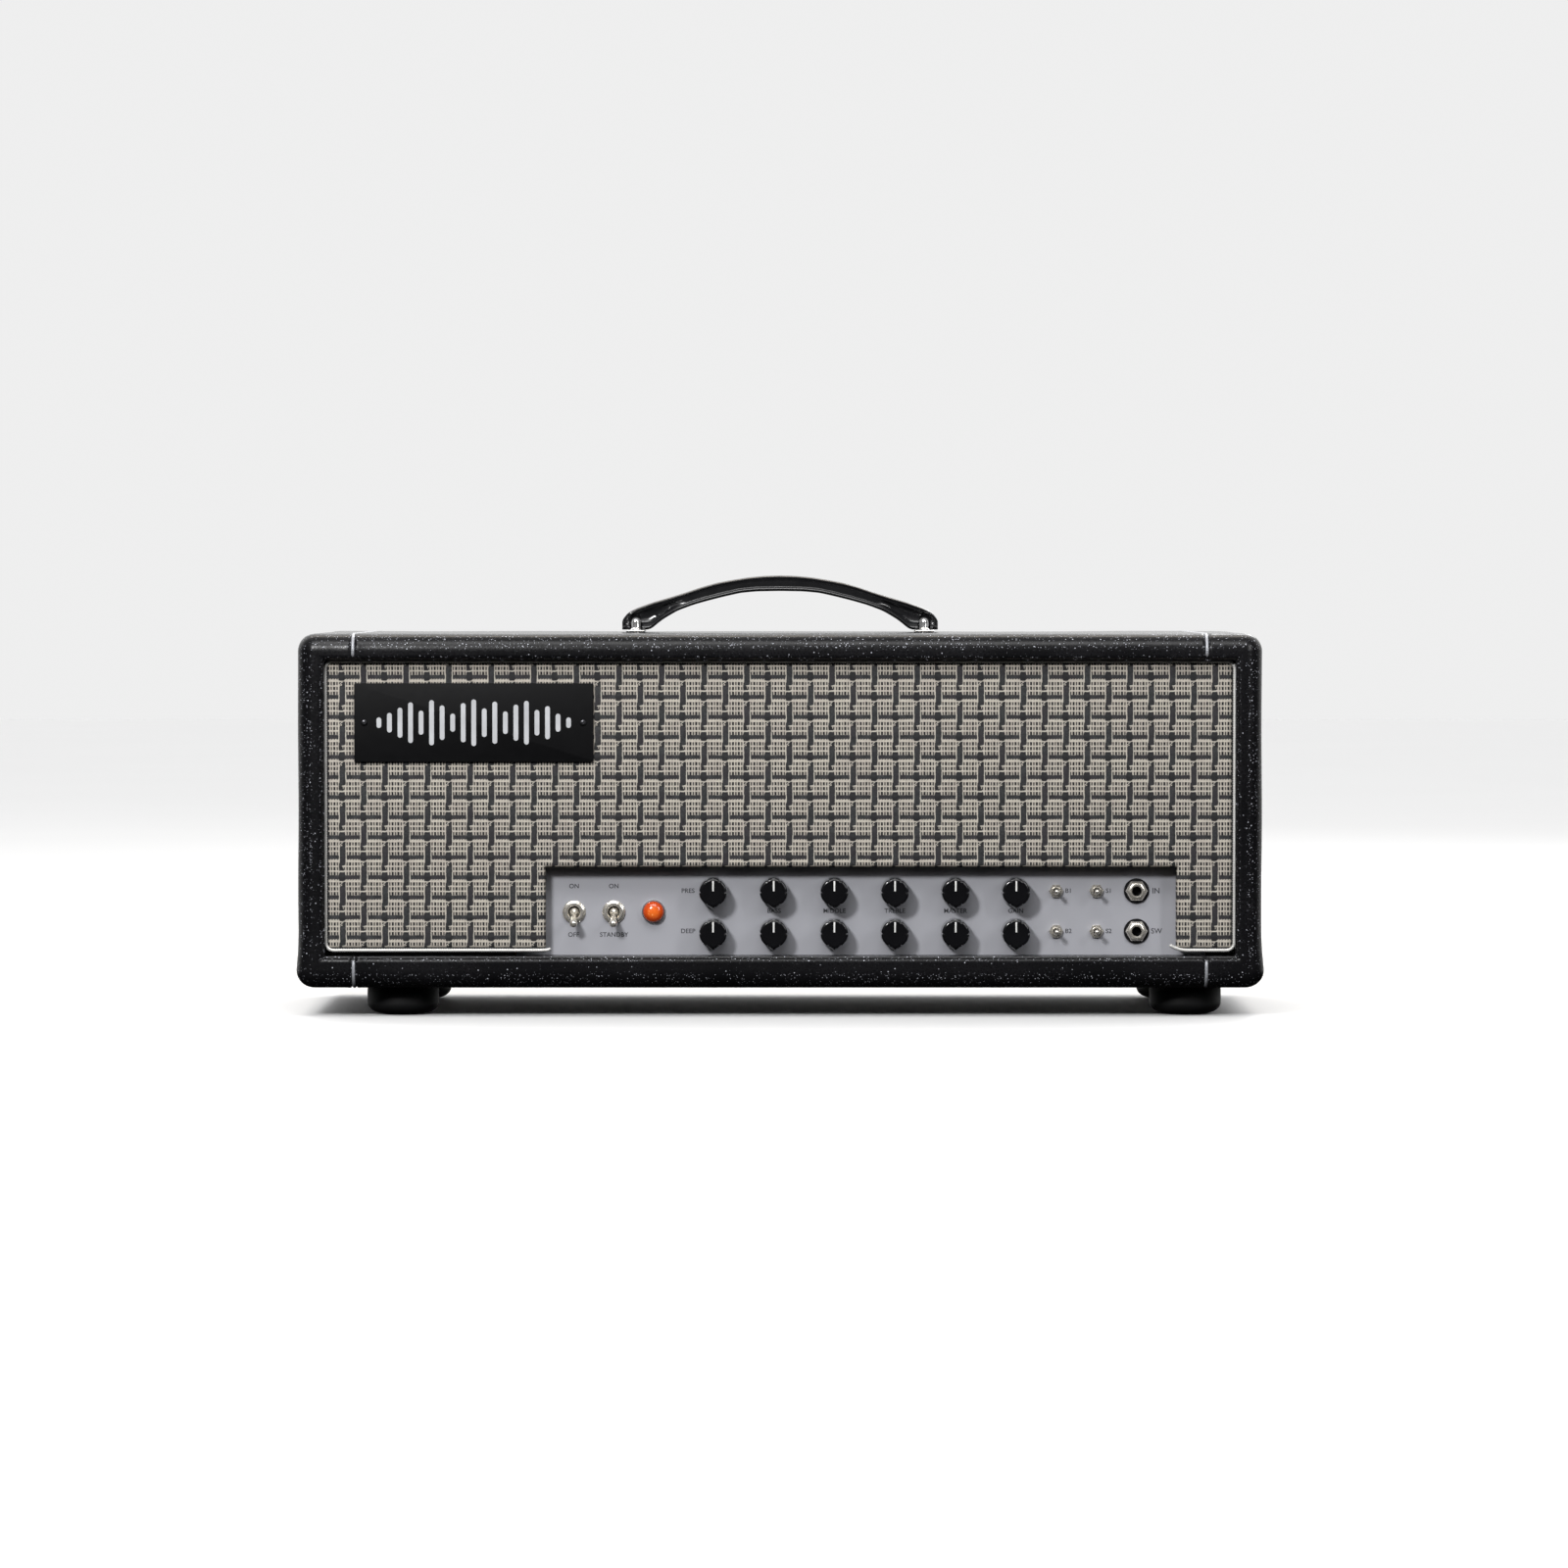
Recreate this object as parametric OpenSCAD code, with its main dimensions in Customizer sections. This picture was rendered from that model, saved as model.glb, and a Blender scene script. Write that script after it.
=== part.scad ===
// Guitar amplifier head: a wooden box covered in vinyl, with a woven grille,
// a recessed control panel and a valve chassis that slides in from behind.
// Millimetres. X runs along the box, the front faces -Y, +Z is up, and Z = 0
// is the surface that the rubber feet stand on.

/* [Cabinet] */
// Width over the covering
cabinet_w = 641; // [636:1:680]
// Depth over the covering
cabinet_d = 241; // [241:1:260]
// Height over the covering, without the feet and the handle
cabinet_h = 236; // [236:1:250]
// Height of the rubber feet
foot_h = 19; // [16:1:30]
// Distance of the left feet from the middle
foot_left = 253; // [240:1:257]
// Distance of the right feet from the middle
foot_right = 272; // [240:1:290]
// Radius of the outer edges of the covering
edge_r = 12; // [9:1:14]
// Thickness of the covering
skin_t = 0.8; // [0.6:0.1:1]
// Distance of the piping cords from the middle of the box
piping_x = 283.3; // [282:0.1:284]

/* [Grille] */
// Depth of the grille cloth behind the front rim
grille_recess = 9; // [6:0.5:10]
// Left end of the control cut-out
cutout_x0 = -156.2; // [-158:0.1:-155]
// Right end of the control cut-out
cutout_x1 = 264.1; // [262:0.1:266]
// Top of the control cut-out
cutout_top = 99.5; // [96:0.5:99.5]
// Diameter of the cord round the grille
cord_d = 2.4; // [2:0.1:2.4]

/* [Controls] */
// Position of the first column of knobs
knob_x0 = -44.5; // [-46:0.1:-43]
// Spacing of the knob columns
knob_pitch = 40.35; // [39:0.05:40.5]
// Height of the upper row of controls
row_hi = 82.6; // [82:0.1:84]
// Height of the lower row of controls
row_lo = 55.2; // [54:0.1:56]
// Diameter of a knob
knob_d = 19.6; // [16:0.1:21]
// Height of a knob
knob_h = 15.5; // [13:0.5:16]
// Resting tilt of the two large levers below the level
lever_tilt = 27; // [20:1:28]

/* [Handle] */
// Height of the top of the handle above the box
handle_rise = 38.7; // [36:0.1:45]
// Distance of each handle bracket from the middle
bracket_x = 98; // [97:0.1:99]
// Width of the handle from front to back
handle_w = 28; // [24:1:30]

/* [Chassis] */
// Left end of the chassis
chassis_x0 = -176; // [-180:1:-174]
// Right end of the chassis
chassis_x1 = 284; // [283:0.5:284]
// Height of the chassis top above the floor
chassis_top = 103; // [101:0.5:104]
// Thickness of the chassis sheet
sheet_t = 2; // [1.5:0.5:2]

/* [Hidden] */
$fn = 48;
hw = cabinet_w / 2;
hd = cabinet_d / 2;
z0 = foot_h;
z1 = foot_h + cabinet_h;
gap = 0.05;
lin = skin_t + gap;
open_x = hw - 17.1;
open_z0 = z0 + 20.5;
open_z1 = z1 - 17.3;
cloth_y = -hd + grille_recess;
baffle_y = cloth_y + 1;
baffle_t = 12;
panel_y = baffle_y + baffle_t + 1.5;
panel_t = 1.5;
wall_y = panel_y + panel_t;
inner_y = wall_y + sheet_t;
rear_y = 100;
floor_z = open_z0 - lin;
baffle_x = open_x - cord_d - 0.1;
baffle_z0 = open_z0 + 6.1;
baffle_z1 = open_z1 - cord_d - 0.1;
back_y0 = 104;
back_t = 12;
back_z0 = chassis_top + 1.5;

knob_xs = [for (i = [0:5]) knob_x0 + knob_pitch * i];
knob_places = [for (x = knob_xs) for (z = [row_hi, row_lo]) [x, z]];
power_pos = [-137.4, 68.9];
standby_pos = [-110.9, 68.9];
lamp_pos = [-84.4, 69.1];
mini_places = [for (x = [184.3, 211.2]) for (z = [row_hi + 0.3, row_lo + 0.8]) [x, z]];
jack_places = [[238, row_hi + 0.3], [238, row_lo + 0.8]];
rear_jack_places = [for (x = [-150, -122, -80, -52]) [x, 70]];
selector_pos = [-12, 70];
fuse_places = [[150, 70], [176, 70]];
inlet_pos = [226, 70];

shaft_r = 3;
pivot_y = panel_y + 1;
mini_pivot_y = panel_y - 0.5;
foot_places = [for (x = [-foot_left, foot_right]) for (y = [-75, 75]) [x, y]];
bolt_places = [for (x = [chassis_x0 + 13, chassis_x1 - 13]) for (y = [-36, 36]) [x, y]];
back_screws = [for (x = [-294, 294]) for (z = [118, 171, 224]) [x, z]];
big_valves = [[82, 30], [136, 30]];
small_valves = [for (i = [0:4]) [70 + 45 * i, -52]];
cans = [[-142, -52], [-98, -52]];
pt = [-118, 28, 84, 62, 84];
ot = [-22, 30, 66, 52, 66];
ck = [-22, -46, 54, 36, 46];
standoffs = concat([[-46, -12], [20, -60], [20, 56]],
                   [for (x = [93, 266]) for (y = [-60, 56]) [x, y]]);
board_z = 58;
seam = 0.05;
post_y = 12.4;
board_t = 1.6;

// ---------- shared shapes ----------

// A box with low and high corners.
module box(a, b) {
  translate(a) cube([b[0] - a[0], b[1] - a[1], b[2] - a[2]]);
}

// A box centred on X and Y, standing on z.
module block(x, y, z, w, d, h) {
  translate([x - w / 2, y - d / 2, z]) cube([w, d, h]);
}

// Local +Z points out of the front, local +Y points up.
module front(p, y) {
  translate([p[0], y, p[1]]) rotate([90, 0, 0]) children();
}

// Local +Z points out of the back, local +Y points up.
module rear(p, y) {
  translate([p[0], y, p[1]]) rotate([90, 0, 180]) children();
}

module tube(r, r_in, h) {
  difference() {
    cylinder(r = r, h = h);
    translate([0, 0, -1]) cylinder(r = r_in, h = h + 2);
  }
}

// A hexagon nut by its width across flats, a point upwards.
module hex_nut(af, bore_r, h) {
  difference() {
    rotate(90) cylinder(r = af / sqrt(3), h = h, $fn = 6);
    translate([0, 0, -1]) cylinder(r = bore_r, h = h + 2);
  }
}

// Points round a rectangle with rounded corners, centred.
function rounded(w, h, r, n = 6) = [
  for (q = [0:3]) for (i = [0:n])
    let (a = 90 * q + 90 * i / n, sx = (q == 0 || q == 3) ? 1 : -1, sz = q < 2 ? 1 : -1)
      [sx * (w / 2 - r) + r * cos(a), sz * (h / 2 - r) + r * sin(a)]
];

// A block with all its edges rounded, between two heights: the part that the
// rounded outlines seen from the end, from the front and from above share.
module soft_block(w, d, za, zb, r) {
  h = zb - za;
  intersection() {
    translate([-w / 2, 0, za + h / 2]) rotate([90, 0, 90]) linear_extrude(w)
      polygon(rounded(d, h, r));
    translate([0, d / 2, za + h / 2]) rotate([90, 0, 0]) linear_extrude(d)
      polygon(rounded(w, h, r));
    translate([0, 0, za]) linear_extrude(h) polygon(rounded(w, d, r));
  }
}

// A vertical plate facing the front, from y0 back by t.
module plate(outline, xc, zc, y0, t) {
  translate([xc, y0 + t, zc]) rotate([90, 0, 0]) linear_extrude(t) polygon(outline);
}

// ---------- cabinet ----------

// One cord round the box in the plane of its ends: a ring between two offsets.
module piping_ring(x, out, deep, w) {
  zc = (z0 + z1) / 2;
  translate([x - w / 2, 0, zc]) rotate([90, 0, 90]) linear_extrude(w) difference() {
    polygon(rounded(cabinet_d + 2 * out, cabinet_h + 2 * out, edge_r + out));
    polygon(rounded(cabinet_d - 2 * deep, cabinet_h - 2 * deep, edge_r - deep));
  }
}

module piping_grooves() {
  for (x = [-piping_x, piping_x]) piping_ring(x, 2, 1.65, 3.1);
}

module screw_holes() {
  for (p = foot_places) translate([p[0], p[1], z0 - 1]) cylinder(r = 2.55, h = 17.05, $fn = 24);
  for (p = bolt_places) translate([p[0], p[1], z0 - 1]) cylinder(r = 3.1, h = 40, $fn = 24);
  for (x = [-bracket_x, bracket_x]) for (y = [-20, 20])
    translate([x, y, z1 - 13.05]) cylinder(r = 2.05, h = 15, $fn = 24);
}

module board_shell() {
  difference() {
    soft_block(cabinet_w - 2 * lin, cabinet_d - 2 * lin, z0 + lin, z1 - lin, edge_r - lin);
    box([-open_x - lin, -hd - 1, open_z0 - lin], [open_x + lin, hd + 1, open_z1 + lin]);
    piping_grooves();
    screw_holes();
  }
}

module cabinet_top_board() {
  color("BurlyWood") intersection() {
    board_shell();
    box([-hw, -hd, open_z1 + lin], [hw, hd, z1]);
  }
}

module cabinet_bottom_board() {
  color("BurlyWood") intersection() {
    board_shell();
    box([-hw, -hd, z0], [hw, hd, open_z0 - lin]);
  }
}

module side_board(s) {
  xa = s < 0 ? -hw : open_x + lin;
  xb = s < 0 ? -open_x - lin : hw;
  color("Tan") intersection() {
    board_shell();
    box([xa, -hd, open_z0 - lin], [xb, hd, open_z1 + lin]);
  }
}

module cabinet_left_board() {
  side_board(-1);
}

module cabinet_right_board() {
  side_board(1);
}

// The turned-in edge of the covering inside the front or back opening.
module turned_edge(ya, yb) {
  difference() {
    box([-open_x - skin_t, ya, open_z0 - skin_t], [open_x + skin_t, yb, open_z1 + skin_t]);
    box([-open_x, ya - 1, open_z0], [open_x, yb + 1, open_z1]);
  }
}

module vinyl_covering() {
  color([0.11, 0.11, 0.12]) difference() {
    union() {
      difference() {
        soft_block(cabinet_w, cabinet_d, z0, z1, edge_r);
        soft_block(cabinet_w - 2 * skin_t, cabinet_d - 2 * skin_t,
                   z0 + skin_t, z1 - skin_t, edge_r - skin_t);
        box([-open_x, -hd - 1, open_z0], [open_x, hd + 1, open_z1]);
      }
      turned_edge(-hd + 0.4, panel_y - 3);
      turned_edge(back_y0, hd - 0.4);
    }
    piping_grooves();
    screw_holes();
  }
}

module edge_piping() {
  color("Silver") for (x = [-piping_x, piping_x]) {
    intersection() {
      piping_ring(x, 0.6, 1.6, 3);
      box([x - 3, -hd - 2, open_z1 + 0.4], [x + 3, hd + 2, z1 + 2]);
    }
    difference() {
      intersection() {
        piping_ring(x, 0.6, 1.6, 3);
        box([x - 3, -hd - 2, z0 - 2], [x + 3, hd + 2, open_z0 - 0.4]);
      }
      for (p = foot_places) translate([p[0], p[1], z0 - 3]) cylinder(r = 24.4, h = 4.1);
    }
  }
}

module panel_cleats() {
  y = baffle_y + baffle_t;
  color("Wheat") {
    for (s = [-1, 1]) {
      xa = s < 0 ? -open_x - lin : 285.5;
      xb = s < 0 ? -285.5 : open_x + lin;
      box([xa, y, floor_z], [xb, y + 18, open_z1 + lin]);
      difference() {
        box([xa, back_y0 - 18, floor_z], [xb, back_y0, open_z1 + lin]);
        for (p = back_screws) rear(p, back_y0 - 10.05) cylinder(r = 1.55, h = 20, $fn = 24);
      }
    }
    box([-270, y, open_z1 - 18], [270, y + 18, open_z1 + lin]);
    box([-285.5, y, floor_z], [chassis_x0 - 2, y + 18, floor_z + 20]);
  }
}

module rubber_feet() {
  r = 24;
  e = 10.5;
  profile = concat(
    [[6.5, 0]],
    [for (a = [0:15:90]) [r - e + e * sin(a), 7.5 - 7.5 * cos(a)]],
    [[r, foot_h], [2.6, foot_h], [2.6, 9], [6.5, 9]]
  );
  color([0.06, 0.06, 0.07]) for (p = foot_places)
    translate([p[0], p[1], 0]) rotate_extrude() polygon(profile);
}

module cabinet_screws() {
  color("Silver") {
    for (p = foot_places) translate([p[0], p[1], 0]) {
      translate([0, 0, 6.5]) cylinder(r = 5.5, h = 2.5);
      translate([0, 0, 8.9]) cylinder(r = 2.5, h = 26);
    }
    for (p = back_screws) {
      rear(p, back_y0 - 10) cylinder(r = 1.5, h = 10 + back_t + 0.1);
      rear(p, back_y0 + back_t) cylinder(r = 4, h = 2);
    }
  }
}

// ---------- grille ----------

module baffle_outline(inset) {
  h = baffle_z1 - baffle_z0;
  polygon(rounded(2 * (baffle_x - inset), h - 2 * inset, 4));
}

module cutout(grow, ya, yb) {
  box([cutout_x0 - grow, ya, baffle_z0 - 5], [cutout_x1 + grow, yb, cutout_top + grow]);
}

module grille_baffle() {
  color([0.1, 0.1, 0.1]) difference() {
    plate(rounded(2 * baffle_x, baffle_z1 - baffle_z0, 4), 0,
          (baffle_z0 + baffle_z1) / 2, baffle_y, baffle_t);
    cutout(1.05, baffle_y - 1, baffle_y + baffle_t + 1);
  }
}

module grille_cloth() {
  color([0.6, 0.58, 0.53]) difference() {
    union() {
      plate(rounded(2 * baffle_x, baffle_z1 - baffle_z0, 4), 0,
            (baffle_z0 + baffle_z1) / 2, cloth_y, baffle_y - cloth_y);
      box([cutout_x0 - 1, cloth_y + 0.2, baffle_z0],
          [cutout_x1 + 1, baffle_y + baffle_t, cutout_top + 1]);
    }
    cutout(0, cloth_y - 1, baffle_y + baffle_t + 1);
  }
}

module grille_piping() {
  w = 2 * (baffle_x + cord_d);
  h = baffle_z1 - baffle_z0 + 2 * cord_d;
  zc = (baffle_z0 + baffle_z1) / 2;
  color("Gainsboro") difference() {
    plate(rounded(w, h, 6), 0, zc, cloth_y - 1.3, cord_d);
    plate(rounded(w - 2 * cord_d, h - 2 * cord_d, 4), 0, zc, cloth_y - 2, cord_d + 2);
    box([cutout_x0 + 3.5, cloth_y - 3, zc - h], [cutout_x1 - 5, cloth_y + 3, zc - h / 4]);
  }
}

module name_plate() {
  color([0.08, 0.08, 0.08]) difference() {
    plate(rounded(159, 52.4, 1), -203.4, 195.6, cloth_y - 2, 2);
    for (x = [-276.1, -130.7]) front([x, 195.6], cloth_y + 1) cylinder(r = 1.3, h = 4);
  }
}

module name_plate_screws() {
  color("DimGray") for (x = [-276.1, -130.7]) {
    front([x, 195.6], cloth_y - 0.05) cylinder(r = 1.25, h = 2);
    front([x, 195.6], cloth_y - 2) intersection() {
      cylinder(r = 2.2, h = 1);
      translate([0, 0, -2.2]) sphere(r = 3.1);
    }
  }
}

// ---------- handle ----------

// Height above the box of the top and of the underside of the arch.
function arch_top(x) = handle_rise - 25 * (1 - cos(180 * x / 210));
function arch_low(x) = handle_rise - 10.6 - 4.7 * pow(x / 43, 2)
  - 5.4 * pow(max(0, abs(x) - 60) / 26, 2);

module handle_grip() {
  xe = 84;
  top = [for (x = [-xe:7:xe]) [x, arch_top(x)]];
  low = [for (x = [xe:-7:-xe]) [x, arch_low(x)]];
  right_end = [[91.3, 18.8], [98, 16.3], [103.4, 13.4], [106, 10.8], [107.4, 7.6], [107.5, 4],
               [106, 1.7], [89, 1.6]];
  left_end = [for (i = [len(right_end) - 1:-1:0]) [-right_end[i][0], right_end[i][1]]];
  color([0.07, 0.07, 0.08]) difference() {
    translate([0, handle_w / 2, z1]) rotate([90, 0, 0]) linear_extrude(handle_w)
      polygon(concat(top, right_end, low, left_end));
    for (s = [-1, 1]) {
      box([s * bracket_x - 4.2, -5, z1 - 1], [s * bracket_x + 4.2, 5, z1 + 11.2]);
      translate([s * bracket_x, handle_w, z1 + 6.5]) rotate([90, 0, 0])
        cylinder(r = 1.55, h = 2 * handle_w);
      for (y = [-post_y, post_y]) translate([s * bracket_x, y, z1 - 1]) cylinder(r = 4.4, h = 12.6);
    }
  }
}

module handle_brackets() {
  color("Silver") for (s = [-1, 1]) translate([s * bracket_x, 0, z1]) difference() {
    union() {
      block(0, 0, 0, 13, 52, 1.5);
      block(0, 0, 0, 6.7, 9, 6.5);
      translate([0, 4.5, 6.5]) rotate([90, 0, 0]) cylinder(r = 3.35, h = 9);
      for (y = [-post_y, post_y]) translate([0, y, 1]) {
        cylinder(r = 3.3, h = 5.8);
        translate([0, 0, 5.8]) sphere(r = 3.3);
      }
    }
    translate([0, 5, 6.5]) rotate([90, 0, 0]) cylinder(r = 1.55, h = 10);
    for (y = [-20, 20]) translate([0, y, -1]) cylinder(r = 2.05, h = 4);
  }
}

module handle_fasteners() {
  color("Gray") for (s = [-1, 1]) translate([s * bracket_x, 0, z1]) {
    translate([0, 9, 6.5]) rotate([90, 0, 0]) cylinder(r = 1.5, h = 18);
    for (y = [-20, 20]) {
      translate([0, y, -13]) cylinder(r = 2, h = 14.6);
      translate([0, y, 1.5]) intersection() {
        cylinder(r = 3.8, h = 2.2);
        translate([0, 0, -2.2]) sphere(r = 4.4);
      }
    }
  }
}

// ---------- back ----------

module back_panel() {
  h = open_z1 - open_z0 - 1;
  color([0.09, 0.09, 0.09]) difference() {
    plate(rounded(2 * open_x - 1, h, 3), 0, open_z0 + 0.5 + h / 2, back_y0, back_t);
    box([chassis_x0 - 1.5, back_y0 - 1, open_z0 - 1], [chassis_x1 + 1.5, back_y0 + 20, back_z0]);
    plate(rounded(380, 84, 8), 0, 170, back_y0 - 1, back_t + 2);
    for (p = back_screws) rear(p, back_y0 - 1) cylinder(r = 1.6, h = back_t + 2);
  }
}

module vent_grille() {
  color([0.25, 0.25, 0.26]) difference() {
    plate(rounded(400, 100, 4), 0, 170, back_y0 - 1.2, 1.2);
    for (i = [-11:11]) for (k = [-1:1])
      block(i * 16, back_y0 - 0.5, 170 + 26 * k - 11, 7, 6, 22);
  }
}

// ---------- chassis ----------

module panel_holes() {
  for (p = knob_places) front(p, 0) cylinder(r = 3.7, h = 200);
  for (p = [power_pos, standby_pos]) front(p, 0) cylinder(r = 6.05, h = 200);
  front(lamp_pos, 0) cylinder(r = 6.25, h = 200);
  for (p = mini_places) front(p, 0) cylinder(r = 3.1, h = 200);
  for (p = jack_places) front(p, 0) cylinder(r = 4.85, h = 200);
}

// Top, front and rear sheets, and two folded end sheets, spot welded along their seams.
module chassis() {
  x0 = chassis_x0;
  x1 = chassis_x1;
  t = sheet_t;
  top = chassis_top;
  ya = wall_y + t + seam;
  yb = rear_y - t - seam;
  zb = top - t - seam;
  color([0.72, 0.73, 0.75]) difference() {
    union() {
      box([x0, wall_y, top - t], [x1, rear_y, top]);
      box([x0, wall_y, floor_z], [x1, wall_y + t, zb]);
      box([x0, rear_y - t, floor_z], [x1, rear_y, zb]);
      box([x0, ya, floor_z], [x0 + t, yb, zb]);
      box([x0, ya, floor_z], [x0 + 22, yb, floor_z + t]);
      box([x1 - t, ya, floor_z], [x1, yb, zb]);
      box([x1 - 22, ya, floor_z], [x1, yb, floor_z + t]);
    }
    panel_holes();
    for (p = rear_jack_places) rear(p, 0) cylinder(r = 4.85, h = 200);
    for (p = fuse_places) rear(p, 0) cylinder(r = 6.25, h = 200);
    rear(selector_pos, 0) cylinder(r = 4.85, h = 200);
    block(inlet_pos[0], rear_y, inlet_pos[1] - 11, 29, 20, 22);
    for (p = bolt_places) translate([p[0], p[1], floor_z - 1]) cylinder(r = 2.6, h = 4);
    for (p = big_valves) translate([p[0], p[1], top - 10]) cylinder(r = 15.5, h = 20);
    for (p = small_valves) translate([p[0], p[1], top - 10]) cylinder(r = 9.6, h = 20);
    for (k = [pt, ot, ck]) iron_bolts(k) translate([0, 0, -10]) cylinder(r = 2.1, h = 20);
    for (p = standoffs) translate([p[0], p[1], top - 10]) cylinder(r = 1.55, h = 20);
  }
}

module control_panel() {
  color([0.64, 0.64, 0.66]) difference() {
    box([chassis_x0, panel_y, floor_z + 0.4], [chassis_x1, wall_y, chassis_top]);
    panel_holes();
  }
}

// Puts its children at the four bolts of a transformer, at the chassis top.
module iron_bolts(k) {
  for (x = [-1, 1]) for (y = [-1, 1])
    translate([k[0] + x * (k[2] / 2 - 6), k[1] + y * (k[3] / 2 + 5), chassis_top]) children();
}

module chassis_bolts() {
  color("Silver") {
    for (p = bolt_places) translate([p[0], p[1], 0]) {
      translate([0, 0, z0 - 4.5]) cylinder(r = 5, h = 3.5);
      translate([0, 0, z0 - 1]) cylinder(r = 8, h = 1);
      translate([0, 0, z0 - 0.5]) cylinder(r = 2.5, h = 31);
      translate([0, 0, floor_z + sheet_t]) hex_nut(8, 2.55, 4);
    }
    for (k = [pt, ot, ck]) iron_bolts(k) {
      translate([0, 0, 2]) hex_nut(7, 2.02, 3);
      translate([0, 0, -4.5]) cylinder(r = 2, h = 10.5);
      translate([0, 0, -sheet_t - 2.5]) cylinder(r = 3.5, h = 2.5);
    }
  }
}

module circuit_board() {
  color([0.1, 0.3, 0.16]) difference() {
    box([-56, -66, board_z], [274, 62, board_z + board_t]);
    for (p = standoffs) translate([p[0], p[1], board_z - 1]) cylinder(r = 1.6, h = 4);
  }
}

module board_components() {
  z = board_z + board_t;
  color([0.75, 0.55, 0.3]) for (i = [0:13]) for (y = [-24, -6])
    translate([-30 + 21 * i, y, z + 1.6]) rotate([90, 0, 0]) cylinder(r = 1.6, h = 9);
  color([0.8, 0.45, 0.1]) for (i = [0:9]) block(-26 + 30 * i, 14, z, 16, 6, 10);
  color([0.15, 0.2, 0.45]) for (i = [0:5]) translate([-20 + 52 * i, 40, z]) cylinder(r = 5, h = 14);
}

module board_standoffs() {
  top = chassis_top - sheet_t;
  color("Silver") for (p = standoffs) translate([p[0], p[1], 0]) {
    translate([0, 0, board_z + board_t]) cylinder(r = 3, h = top - board_z - board_t);
    translate([0, 0, board_z - 3]) cylinder(r = 1.5, h = 4.8);
    translate([0, 0, board_z - 2.4]) hex_nut(5.5, 1.52, 2.4);
    translate([0, 0, top - 0.1]) cylinder(r = 1.5, h = sheet_t + 0.2);
    translate([0, 0, top + sheet_t]) cylinder(r = 2.8, h = 2);
  }
}

// A transformer: core stack, winding under two end covers, and its foot plate.
// k = [x, y, width, depth, height]; the stack stands on the foot plate.
module iron(k, cover) {
  translate([k[0], k[1], chassis_top]) {
    difference() {
      block(0, 0, 0, k[2], k[3] + 18, 2);
      for (x = [-1, 1]) for (y = [-1, 1])
        translate([x * (k[2] / 2 - 6), y * (k[3] / 2 + 5), -1]) cylinder(r = 2.1, h = 4);
    }
    color([0.3, 0.3, 0.32]) block(0, 0, 2, k[2], k[3] * 0.44, k[4]);
    color(cover) for (s = [-1, 1])
      block(0, s * k[3] * 0.36, 2.5, k[2] - 5, k[3] * 0.28, k[4] - 3);
  }
}

module power_transformer() {
  color([0.12, 0.12, 0.13]) iron(pt, [0.1, 0.1, 0.1]);
}

module output_transformer() {
  color([0.12, 0.12, 0.13]) iron(ot, [0.1, 0.1, 0.1]);
}

module filter_choke() {
  color([0.12, 0.12, 0.13]) iron(ck, [0.1, 0.1, 0.1]);
}

// A glass valve standing at z: base radius and height, bulb radius and height.
module valve(rb, hb, rg, hg) {
  arc = [for (a = [0:15:90]) [rg * cos(a), hb + hg - rg * 0.7 + rg * 0.7 * sin(a)]];
  color([0.12, 0.1, 0.09]) cylinder(r = rb, h = hb);
  color([0.75, 0.72, 0.66, 0.5]) rotate_extrude() polygon(concat([[0, hb], [rg, hb]], arc));
}

module power_valves() {
  for (p = big_valves) translate([p[0], p[1], chassis_top + 3]) valve(17.5, 14, 15.5, 68);
}

module preamp_valves() {
  for (p = small_valves) translate([p[0], p[1], chassis_top + 2.5]) valve(10.2, 3, 10.6, 46);
}

module valve_sockets() {
  color([0.85, 0.83, 0.78]) {
    for (p = big_valves) translate([p[0], p[1], chassis_top]) {
      cylinder(r = 20, h = 3);
      translate([0, 0, -12]) cylinder(r = 15.3, h = 12.2);
    }
    for (p = small_valves) translate([p[0], p[1], chassis_top]) {
      cylinder(r = 12.5, h = 2.5);
      translate([0, 0, -10]) cylinder(r = 9.4, h = 10.2);
    }
  }
}

module filter_capacitors() {
  color([0.2, 0.25, 0.5]) for (p = cans) translate([p[0], p[1], chassis_top]) {
    cylinder(r = 17.5, h = 58);
    translate([0, 0, 0]) cylinder(r = 20, h = 3);
  }
}

// ---------- controls ----------

module potentiometer_bodies() {
  color([0.55, 0.55, 0.56]) for (p = knob_places) difference() {
    union() {
      front(p, inner_y + 11) cylinder(r = 8.4, h = 11);
      front(p, inner_y + 0.2) cylinder(r = 3.6, h = inner_y + 0.2 - (panel_y - 2.4));
    }
    front(p, inner_y + 8) cylinder(r = shaft_r + 0.05, h = 30);
  }
}

module panel_nuts() {
  color("Silver") {
    for (p = knob_places) front(p, panel_y) hex_nut(10, 3.65, 2);
    for (p = [power_pos, standby_pos]) front(p, panel_y) difference() {
      union() {
        cylinder(r = 7.7, h = 1.2);
        translate([0, 0, 1.2]) cylinder(r1 = 7.7, r2 = 6.9, h = 1);
      }
      translate([0, 0, -1]) cylinder(r = 6, h = 5);
    }
    for (p = mini_places) front(p, panel_y) hex_nut(8.4, 3.05, 2);
    for (p = jack_places) front(p, panel_y - 1) intersection() {
      hex_nut(13, 4.8, 3.4);
      translate([0, 0, -3.2]) sphere(r = 8.6);
    }
    for (p = concat(rear_jack_places, [selector_pos])) rear(p, rear_y) hex_nut(13, 4.8, 2.5);
  }
}

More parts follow.
